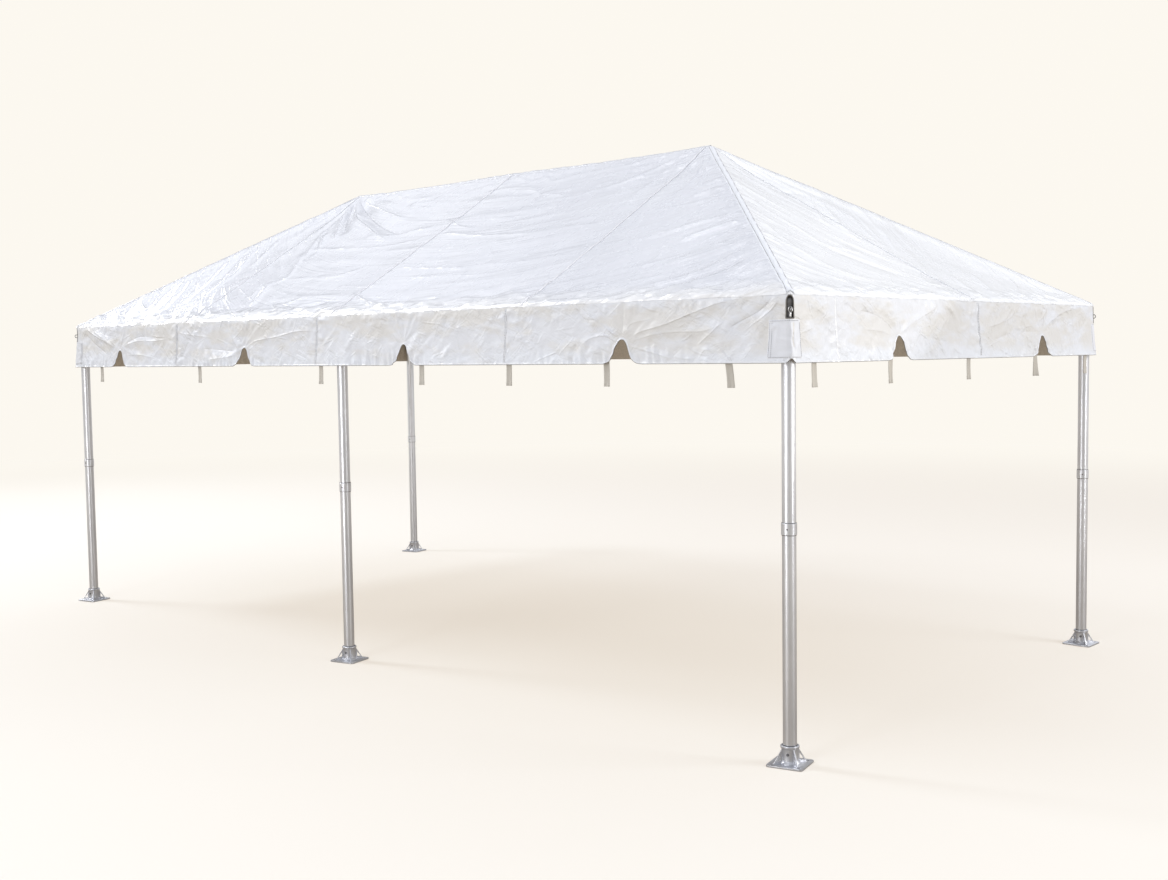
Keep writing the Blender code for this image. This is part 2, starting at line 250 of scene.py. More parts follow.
def vinyl_material(name, light, dark, rough=(0.20, 0.34), streak=0.0, crinkle=0.3, creases=(),
                   streams=None, eave=0.0, coat=0.35, gloss_level=0.6, edge=None, drift=(1.7, 1.0, 0.30, 0.70),
                   crumple=0.0):
    """Glossy coated fabric: slight colour drift, streaks along the pull of
    the cloth, sharp packing creases and small crinkles. edge paints a strip
    along an edge lighter: painted light, not a colour of the cloth."""
    mat, tree, shader = new_material(name)
    place = mapped(tree, "Object", (1, 1, 1))
    broad = noise(tree, mapped(tree, "Object", (1, 1, drift[1])), drift[0], 3.0, 0.6)
    colour = ramp(tree, broad, ((drift[2], dark), (drift[3], light)))
    if edge:
        # painted light: the strip along an edge is painted a lighter colour of its own, from V in metres
        first, last, shade = edge
        part = node(tree, "ShaderNodeSeparateXYZ")
        tree.links.new(node(tree, "ShaderNodeUVMap", uv_map="UVMap").outputs["UV"], part.inputs[0])
        near_painted_edge = node(tree, "ShaderNodeMapRange")
        near_painted_edge.interpolation_type = "SMOOTHSTEP"
        for key, value in (("From Min", first), ("From Max", last), ("To Min", 1.0), ("To Max", 0.0)):
            near_painted_edge.inputs[key].default_value = value
        tree.links.new(part.outputs["Y"], near_painted_edge.inputs["Value"])
        painted_edge_light_mask = add_maths(tree, near_painted_edge.outputs[0], add_maths(tree, broad, 1.7, "MULTIPLY"), "MULTIPLY")
        strip = ramp(tree, broad, ((0.2, tuple(0.97 * c for c in shade)), (0.8, shade)))
        blend = node(tree, "ShaderNodeMix", data_type="RGBA", clamp_factor=True)
        tree.links.new(painted_edge_light_mask, blend.inputs[0])
        tree.links.new(colour, blend.inputs[6])
        tree.links.new(strip, blend.inputs[7])
        colour = blend.outputs[2]
    tree.links.new(colour, shader.inputs["Base Color"])
    gloss = noise(tree, place, 7.0, 3.0, 0.6)
    lo, hi = rough
    value = ramp(tree, gloss, ((0.32, (lo,) * 3), (0.70, (hi,) * 3)))
    tree.links.new(value, shader.inputs["Roughness"])
    shader.inputs["IOR"].default_value = 1.5
    shader.inputs["Specular IOR Level"].default_value = gloss_level
    shader.inputs["Coat Weight"].default_value = coat
    shader.inputs["Coat Roughness"].default_value = 0.14
    normal = None
    if streams:
        patch = noise(tree, place, 2.6, 2.0, 0.5)
        patch = ramp(tree, patch, ((0.36, (0.25,) * 3), (0.62, (1.0,) * 3)))
        for along, across, distance in streams:
            lines = ridged(tree, uv_layer(tree, "streams", (along, across, 1.0)), 1.0, 2.0, 0.55, 0.5)
            lines = add_maths(tree, lines, patch, "MULTIPLY")
            normal = bump(tree, lines, streak, distance, normal)
    if creases:
        total = None
        for key in creases:
            one = crease_height(tree, key)
            total = one if total is None else add_maths(tree, total, one)
        normal = bump(tree, total, 1.0, 1.0, normal)
    if eave:
        # crumpled strip along the eave, from V in metres up the slope
        split = node(tree, "ShaderNodeSeparateXYZ")
        coord = node(tree, "ShaderNodeUVMap", uv_map="UVMap")
        tree.links.new(coord.outputs["UV"], split.inputs[0])
        near = node(tree, "ShaderNodeMapRange")
        near.interpolation_type = "SMOOTHSTEP"
        for key, value in (("From Min", 0.02), ("From Max", 0.17), ("To Min", 1.0), ("To Max", 0.0)):
            near.inputs[key].default_value = value
        tree.links.new(split.outputs["Y"], near.inputs["Value"])
        facet = node(tree, "ShaderNodeTexVoronoi", feature="SMOOTH_F1")
        facet.inputs["Scale"].default_value = 1.0
        facet.inputs["Smoothness"].default_value = 0.12
        tree.links.new(uv_layer(tree, "UVMap", (5.0, 27.0, 1.0), -9.0), facet.inputs["Vector"])
        crush = ridged(tree, uv_layer(tree, "UVMap", (3.4, 24.0, 1.0), -13.0), 1.0, 1.5, 0.45, 0.5)
        crush = add_maths(tree, crush, add_maths(tree, facet.outputs["Distance"], 1.6, "MULTIPLY"))
        crush = add_maths(tree, crush, near.outputs[0], "MULTIPLY")
        normal = bump(tree, crush, eave, 0.0058, normal)
    if crumple:
        # crumpled patches: soft facets with fine crests between them
        for turn, scale, distance in ((28.0, (7.0, 15.0, 1.0), 0.0046), (-34.0, (13.0, 26.0, 1.0), 0.0022)):
            crest = ridged(tree, uv_layer(tree, "UVMap", scale, turn), 1.0, 2.0, 0.5, 0.8)
            calm = ramp(tree, noise(tree, place, 5.0, 2.0, 0.5), ((0.40, (0.15,) * 3), (0.60, (1.0,) * 3)))
            normal = bump(tree, add_maths(tree, crest, calm, "MULTIPLY"), crumple, distance, normal)
    small = noise(tree, uv_layer(tree, "UVMap", (1.0, 1.0, 1.0)), 38.0, 3.0, 0.6, 0.6)
    normal = bump(tree, small, crinkle, 0.0030, normal)
    tree.links.new(normal, shader.inputs["Normal"])
    return mat


def metal_material(name, light, dark, rough, along=(0, 0, 1), metallic=0.9):
    """Mill-finish tube: drawn streaks that run with the tube, slight stains."""
    mat, tree, shader = new_material(name)
    stretch = tuple(0.5 if k else 1.0 for k in along)
    fine = tuple(2.0 if k else 520.0 for k in along)
    wide = tuple(0.6 if k else 120.0 for k in along)
    stain = noise(tree, mapped(tree, "Object", stretch), 7.0, 4.0, 0.6)
    bands = noise(tree, mapped(tree, "Object", wide), 1.0, 2.0, 0.5)
    mixed = add_maths(tree, add_maths(tree, stain, 0.45, "MULTIPLY"),
                      add_maths(tree, bands, 0.55, "MULTIPLY"))
    colour = ramp(tree, mixed, ((0.34, dark), (0.62, light)))
    tree.links.new(colour, shader.inputs["Base Color"])
    shader.inputs["Metallic"].default_value = metallic
    lines = noise(tree, mapped(tree, "Object", fine), 1.0, 2.0, 0.6)
    lo, hi = rough
    value = ramp(tree, lines, ((0.30, (lo,) * 3), (0.70, (hi,) * 3)))
    tree.links.new(value, shader.inputs["Roughness"])
    normal = bump(tree, bands, 0.25, 0.0012)
    tree.links.new(bump(tree, lines, 0.12, 0.0004, normal), shader.inputs["Normal"])
    return mat


def cast_material(name, light, dark, rough=(0.38, 0.55), metallic=0.9, grain=0.35):
    mat, tree, shader = new_material(name)
    stain = noise(tree, mapped(tree, "Object", (1, 1, 1)), 24.0, 4.0, 0.6)
    colour = ramp(tree, stain, ((0.30, dark), (0.70, light)))
    tree.links.new(colour, shader.inputs["Base Color"])
    shader.inputs["Metallic"].default_value = metallic
    lo, hi = rough
    value = ramp(tree, stain, ((0.30, (hi,) * 3), (0.70, (lo,) * 3)))
    tree.links.new(value, shader.inputs["Roughness"])
    sand = noise(tree, mapped(tree, "Object", (1, 1, 1)), 420.0, 2.0, 0.5)
    soft = noise(tree, mapped(tree, "Object", (1, 1, 1)), 60.0, 2.0, 0.5)
    normal = bump(tree, soft, 0.35, 0.0015)
    tree.links.new(bump(tree, sand, grain, 0.0005, normal), shader.inputs["Normal"])
    return mat


def plain_material(name, colour, rough, metallic=0.0):
    mat, tree, shader = new_material(name)
    shade = noise(tree, mapped(tree, "Object", (1, 1, 1)), 70.0, 3.0, 0.6)
    darker = tuple(c * 0.82 for c in colour)
    tree.links.new(ramp(tree, shade, ((0.3, darker), (0.7, colour))), shader.inputs["Base Color"])
    shader.inputs["Roughness"].default_value = rough
    shader.inputs["Metallic"].default_value = metallic
    tree.links.new(bump(tree, shade, 0.15, 0.0006), shader.inputs["Normal"])
    return mat


def webbing_material(name):
    """Woven strap: ribs along its length, fine picks across."""
    mat, tree, shader = new_material(name)
    ribs = node(tree, "ShaderNodeTexWave")
    ribs.wave_type, ribs.bands_direction = "BANDS", "X"
    ribs.inputs["Scale"].default_value = 1.0
    ribs.inputs["Distortion"].default_value = 0.3
    tree.links.new(mapped(tree, "UV", (64.0, 3.0, 1.0)), ribs.inputs["Vector"])
    picks = node(tree, "ShaderNodeTexWave")
    picks.wave_type, picks.bands_direction = "BANDS", "Y"
    picks.inputs["Scale"].default_value = 1.0
    picks.inputs["Distortion"].default_value = 1.0
    tree.links.new(mapped(tree, "UV", (3.0, 220.0, 1.0)), picks.inputs["Vector"])
    height = add_maths(tree, ribs.outputs["Fac"], add_maths(tree, picks.outputs["Fac"], 0.35, "MULTIPLY"))
    # the colour follows the weave's height, darker where it is low: painted shade in its grooves
    shade = add_maths(tree, height, 0.72, "MULTIPLY")
    tree.links.new(ramp(tree, shade, ((0.05, (0.40, 0.375, 0.335)), (0.75, (0.64, 0.61, 0.555)))),
                   shader.inputs["Base Color"])
    shader.inputs["Roughness"].default_value = 0.75
    shader.inputs["Sheen Weight"].default_value = 0.3
    tree.links.new(bump(tree, height, 0.6, 0.0008), shader.inputs["Normal"])
    return mat


def band_material(name):
    """Sewn band: two dashed stitch rows near its edges, from UV in metres:
    U along, V across from -1 to 1."""
    mat, tree, shader = new_material(name)
    coord = node(tree, "ShaderNodeTexCoord")
    split = node(tree, "ShaderNodeSeparateXYZ")
    tree.links.new(coord.outputs["UV"], split.inputs[0])
    across = add_maths(tree, split.outputs["Y"], 0.0, "ADD")
    far = add_maths(tree, across, None or 0.0, "ADD")
    absolute = node(tree, "ShaderNodeMath", operation="ABSOLUTE")
    tree.links.new(far, absolute.inputs[0])
    off = add_maths(tree, absolute.outputs[0], 0.70, "SUBTRACT")
    off2 = node(tree, "ShaderNodeMath", operation="ABSOLUTE")
    tree.links.new(off, off2.inputs[0])
    row = add_maths(tree, off2.outputs[0], 0.085, "LESS_THAN")
    dash = add_maths(tree, add_maths(tree, split.outputs["X"], 125.0, "MULTIPLY"), 1.0, "FRACT")
    dash = add_maths(tree, dash, 0.72, "LESS_THAN")
    stitch = add_maths(tree, row, dash, "MULTIPLY")
    colour = ramp(tree, stitch, ((0.0, (0.80, 0.82, 0.87)), (1.0, (0.50, 0.51, 0.55))))
    tree.links.new(colour, shader.inputs["Base Color"])
    shader.inputs["Roughness"].default_value = 0.34
    shader.inputs["Coat Weight"].default_value = 0.2
    crinkle = noise(tree, mapped(tree, "Object", (1, 1, 1)), 60.0, 3.0, 0.6)
    normal = bump(tree, crinkle, 0.25, 0.002)
    normal = bump(tree, add_maths(tree, 1.0, row, "SUBTRACT"), 0.5, 0.0012, normal)
    tree.links.new(normal, shader.inputs["Normal"])
    return mat


CREASES = ("crease_a", "crease_b", "crease_c")
# the long slopes are painted bluer and darker than the ends, painted shade, and their eave strip lighter, a painted
# highlight
LONG_SLOPE_SHADE_AND_EAVE_HIGHLIGHT = vinyl_material("vinyl_long_slope_painted_shade_and_eave_highlight", (0.795, 0.812, 0.868), (0.755, 0.772, 0.835), creases=CREASES,
                            streak=0.42, streams=((1.0, 22.0, 0.0070), (2.6, 78.0, 0.0016)), eave=1.0, crinkle=0.14,
                            edge=(0.02, 0.17, (0.88, 0.885, 0.91)))
# the same vinyl on the end slopes, painted whiter and warmer as if lit: painted light
END_SLOPE_PAINTED_LIGHT = vinyl_material("vinyl_end_slope_painted_light", (0.83, 0.84, 0.86), (0.80, 0.815, 0.85), creases=CREASES,
                           streak=0.35, streams=((1.1, 20.0, 0.0060), (2.6, 74.0, 0.0015)), eave=0.5, crinkle=0.14)
# the valance's strip above the hem is painted bluer and lighter: a painted sky reflection
VALANCE_PAINTED_HEM_REFLECTION = vinyl_material("vinyl_valance_painted_hem_reflection", (0.730, 0.750, 0.805), (0.700, 0.695, 0.695),
                             rough=(0.36, 0.50), creases=CREASES, crinkle=0.34, coat=0.05,
                             gloss_level=0.36, edge=(1.725, 1.800, (0.755, 0.785, 0.85)), drift=(3.4, 2.6, 0.42, 0.58),
                             crumple=0.8)
HEM = vinyl_material("vinyl_hem", (0.77, 0.79, 0.84), (0.73, 0.75, 0.80), rough=(0.3, 0.4), crinkle=0.2)
SEAM = vinyl_material("vinyl_seam", (0.88, 0.89, 0.93), (0.84, 0.85, 0.89), rough=(0.24, 0.34), crinkle=0.1)
# dark cord colour: painted shade along the hem's lower edge and round the corner slots
SHADE_CORD = plain_material("hem_edge_painted_shade", (0.20, 0.19, 0.18), 0.6)
STITCH = plain_material("thread", (0.34, 0.34, 0.36), 0.7)
# taupe face for the inside of the valance: painted shade, not a colour of the vinyl
PAINTED_INNER_SHADE = plain_material("vinyl_inner_painted_shade", (0.68, 0.60, 0.50), 0.6)
BAND = band_material("sewn_band")
WEBBING = webbing_material("webbing")
TUBE_UP = metal_material("leg_metal", (0.80, 0.81, 0.85), (0.64, 0.655, 0.70), (0.28, 0.42))
TUBE_X = metal_material("tube_metal_long", (0.74, 0.74, 0.74), (0.62, 0.62, 0.63), (0.34, 0.48), (1, 0, 0))
TUBE_Y = metal_material("tube_metal_short", (0.74, 0.74, 0.74), (0.62, 0.62, 0.63), (0.34, 0.48), (0, 1, 0))
TUBE_SLOPE = metal_material("tube_metal_rafter", (0.74, 0.74, 0.74), (0.62, 0.62, 0.63), (0.34, 0.48), (0, 1, 1))
CAST = cast_material("cast_metal", (0.70, 0.71, 0.745), (0.55, 0.56, 0.60), (0.34, 0.50))
FITTING = cast_material("fitting_metal", (0.27, 0.27, 0.28), (0.20, 0.20, 0.21), (0.4, 0.6), 0.8)
STEEL = plain_material("ring_steel", (0.78, 0.78, 0.79), 0.30, 0.85)
PATCH = vinyl_material("vinyl_patch", (0.74, 0.76, 0.82), (0.69, 0.71, 0.76), rough=(0.38, 0.50), crinkle=0.40, coat=0.05,
                       gloss_level=0.36)


# ------------------------------------------------------------------ folds
def spline(points, each=6):
    """Catmull-Rom curve through 2D points."""
    points = np.asarray(points, float)
    p = np.concatenate([points[:1] * 2 - points[1:2], points, points[-1:] * 2 - points[-2:-1]])
    out = []
    for k in range(1, len(p) - 2):
        t = np.arange(each)[:, None] / each
        out.append(0.5 * (2 * p[k] + (p[k + 1] - p[k - 1]) * t
                          + (2 * p[k - 1] - 5 * p[k] + 4 * p[k + 1] - p[k + 2]) * t ** 2
                          + (3 * p[k] - p[k - 1] - 3 * p[k + 1] + p[k + 2]) * t ** 3))
    out.append(points[-1:])
    return np.concatenate(out)


def smooth_line(points, step):
    """Evenly spaced points of a smooth line, and each one's share of it."""
    curve = spline(points, 12)
    run = np.concatenate([[0], np.cumsum(np.linalg.norm(np.diff(curve, axis=0), axis=1))])
    share = np.linspace(0, 1, max(6, int(run[-1] / step)))
    at = share * run[-1]
    return np.stack([np.interp(at, run, curve[:, 0]), np.interp(at, run, curve[:, 1])], -1), share


def nearest_on(line, share, places):
    """Signed distance from a line, index of the nearest point and its share."""
    best = np.full(len(places), 9e9)
    which_one = np.zeros(len(places), int)
    for low in range(0, len(line), 64):
        part = line[low:low + 64]
        gap = ((places[:, None, :] - part[None]) ** 2).sum(-1)
        k = gap.argmin(1)
        value = gap[np.arange(len(places)), k]
        better = value < best
        best[better], which_one[better] = value[better], (k + low)[better]
    way = unit(np.gradient(line, axis=0))[which_one]
    off = places - line[which_one]
    side = off[:, 0] * -way[:, 1] + off[:, 1] * way[:, 0]
    ends = (which_one == 0) | (which_one == len(line) - 1)
    gap = np.where(ends, np.sqrt(best), np.abs(side))
    return np.where(side < 0, -gap, gap), which_one, share[which_one]


def crease_layers(places, paths, layers, width=0.0050, reach=0.030, clear=0.0):
    """Vertex fields for the sharp creases: paths of (height, points) are
    shared out over a few layers, so that neighbours don't meet in one. The
    offset is kept a little past the reach, where the height is nil already."""
    far = 1.8 * reach
    fields = [np.zeros((len(places), 3)) for _ in range(layers)]
    for one in fields:
        one[:, 0] = 8.0
    nearest = [np.full(len(places), 9.0) for _ in range(layers)]
    second = [np.full(len(places), 9.0) for _ in range(layers)]
    used = [[] for _ in range(layers)]
    for high, points in paths:
        line, share = smooth_line(points, 0.012)
        room = []
        for there in used:
            room.append(min([np.sqrt(((line[:, None] - other[None]) ** 2).sum(-1)).min() for other in there] or [9.0]))
        layer = next((k for k, gap in enumerate(room) if gap > 2.1 * reach), int(np.argmax(room)))
        used[layer].append(line)
        box = ((places[:, 0] > line[:, 0].min() - far) & (places[:, 0] < line[:, 0].max() + far)
               & (places[:, 1] > line[:, 1].min() - far) & (places[:, 1] < line[:, 1].max() + far))
        spots = np.nonzero(box)[0]
        if not len(spots):
            continue
        gap, _, t = nearest_on(line, share, places[spots])
        near = np.abs(gap) < far
        taper = np.clip(np.minimum(t, 1 - t) / 0.18, 0, 1)
        amount = high * taper * np.clip((reach - np.abs(gap)) / (reach * 0.5), 0, 1)
        take = near & (np.abs(gap) < nearest[layer][spots])
        miss = spots[~take]
        second[layer][miss] = np.minimum(second[layer][miss], np.abs(gap[~take]))
        ids = spots[take]
        second[layer][ids] = nearest[layer][ids]
        nearest[layer][ids] = np.abs(gap[take])
        fields[layer][ids, 0] = gap[take] / width
        fields[layer][ids, 1] = amount[take]
    for layer in range(layers):
        apart = np.clip((second[layer] - nearest[layer] - clear) / (reach * 0.8), 0, 1)
        fields[layer][:, 1] *= apart
    return fields


class Raster:
    """A height field over (u, v) that folds are pressed into."""

    def __init__(self, u0, u1, v0, v1, step=0.008):
        self.u0, self.v0, self.step = u0, v0, step
        self.nu = int(round((u1 - u0) / step)) + 2
        self.nv = int(round((v1 - v0) / step)) + 2
        self.h = np.zeros((self.nu, self.nv))

    def axes(self):
        u = self.u0 + np.arange(self.nu) * self.step
        v = self.v0 + np.arange(self.nv) * self.step
        return np.meshgrid(u, v, indexing="ij")

    def stroke(self, u, v, angle, length, width, height, bend=0.0, kind=0):
        """One fold centred on (u, v): a ridge (kind 0), or a ridge with a
        trough beside it (kind 1)."""
        half = length / 2 + width
        c, s = math.cos(angle), math.sin(angle)
        ru = abs(c) * half + abs(s) * width * 3.5 + abs(bend) * half
        rv = abs(s) * half + abs(c) * width * 3.5 + abs(bend) * half
        i0 = max(0, int((u - ru - self.u0) / self.step))
        i1 = min(self.nu, int((u + ru - self.u0) / self.step) + 2)
        j0 = max(0, int((v - rv - self.v0) / self.step))
        j1 = min(self.nv, int((v + rv - self.v0) / self.step) + 2)
        if i1 <= i0 or j1 <= j0:
            return
        du = self.u0 + np.arange(i0, i1)[:, None] * self.step - u
        dv = self.v0 + np.arange(j0, j1)[None, :] * self.step - v
        x = (du * c + dv * s) / (length / 2)
        y = (-du * s + dv * c) / width + bend * (x * x - 0.4) * (length / 2) / width
        along = np.clip(1 - x * x, 0, None) ** 1.5
        across = np.exp(-y * y)
        if kind == 1:
            across = across - 0.7 * np.exp(-(y - 1.35) ** 2)
        self.h[i0:i1, j0:j1] += height * along * across

    def line(self, a, b, width, height, kind=0, bend=0.0):
        a, b = np.array(a, float), np.array(b, float)
        mid, way = (a + b) / 2, b - a
        self.stroke(mid[0], mid[1], math.atan2(way[1], way[0]), float(np.linalg.norm(way)) * 1.15,
                    width, height, bend, kind)

    def path(self, points, width, height, sharp=1.5, fade=0.16):
        """One fold along a smooth line through points; a negative height
        makes a trough."""
        line, share = smooth_line(points, self.step * 0.75)
        reach = width * 2.6
        i0 = max(0, int((line[:, 0].min() - reach - self.u0) / self.step))
        i1 = min(self.nu, int((line[:, 0].max() + reach - self.u0) / self.step) + 2)
        j0 = max(0, int((line[:, 1].min() - reach - self.v0) / self.step))
        j1 = min(self.nv, int((line[:, 1].max() + reach - self.v0) / self.step) + 2)
        if i1 <= i0 or j1 <= j0:
            return
        u = self.u0 + np.arange(i0, i1) * self.step
        v = self.v0 + np.arange(j0, j1) * self.step
        grid = np.stack(np.meshgrid(u, v, indexing="ij"), -1).reshape(-1, 2)
        gap, _, t = nearest_on(line, share, grid)
        taper = np.clip(np.minimum(t, 1 - t) / fade, 0, 1)
        taper = taper * taper * (3 - 2 * taper)
        lump = height * taper * np.exp(-(np.abs(gap) / width) ** sharp)
        lump *= np.clip(2.6 - np.abs(gap) / width, 0, 1)
        self.h[i0:i1, j0:j1] += lump.reshape(i1 - i0, j1 - j0)

    def fan(self, peak, folds):
        """Folds that run out of a peak: (angle in degrees, spread in degrees,
        height, reach)."""
        u, v = self.axes()
        du, dv = u - peak[0], v - peak[1]
        r = np.hypot(du, dv)
        theta = np.degrees(np.arctan2(dv, du))
        for angle, spread, height, reach in folds:
            off = (theta - angle + 180) % 360 - 180
            self.h += height * np.exp(-(off / spread) ** 2) * (r / (r + 0.10)) * np.exp(-(r / reach) ** 2)

    def sample(self, u, v):
        x = np.clip((u - self.u0) / self.step, 0, self.nu - 1.001)
        y = np.clip((v - self.v0) / self.step, 0, self.nv - 1.001)
        i, j = x.astype(int), y.astype(int)
        fx, fy = x - i, y - j
        h = self.h
        return ((h[i, j] * (1 - fx) + h[i + 1, j] * fx) * (1 - fy)
                + (h[i, j + 1] * (1 - fx) + h[i + 1, j + 1] * fx) * fy)


def smooth_wave(rng, x, waves, low, high):
    """A wandering value along x, from waves of random length and phase."""
    total = np.zeros_like(x, float)
    for _ in range(waves):
        k = math.tau / rng.uniform(low, high)
        total += np.sin(k * x + rng.uniform(0, math.tau))
    return total / math.sqrt(waves)


SLOPE_F = math.atan2(RIDGE_Z - EAVE_Z, COVER_Y)
SLOPE_R = math.atan2(RIDGE_Z - EAVE_Z, COVER_X - PEAK_R)
SLOPE_L = math.atan2(RIDGE_Z - EAVE_Z, COVER_X + PEAK_L)


def seam_puckers(rng, field, a, b, count, reach, height, lean=0.0):
    """Short folds that cross a seam from a to b."""
    a, b = np.array(a, float), np.array(b, float)
    way = (b - a) / np.linalg.norm(b - a)
    across = math.atan2(way[0], -way[1]) + lean
    for k in range(count):
        t = (k + rng.uniform(0.1, 0.9)) / count
        length = rng.uniform(0.4, 1.0) * reach
        side = rng.choice((-1.0, 1.0))
        spot = a + (b - a) * t + side * np.array((way[1], -way[0])) * length * 0.42
        field.stroke(spot[0], spot[1], across + rng.normal(0, 0.28), length,
                     rng.uniform(0.010, 0.016), height * rng.uniform(0.3, 1.0), rng.normal(0, 0.1),
                     int(rng.integers(2)))


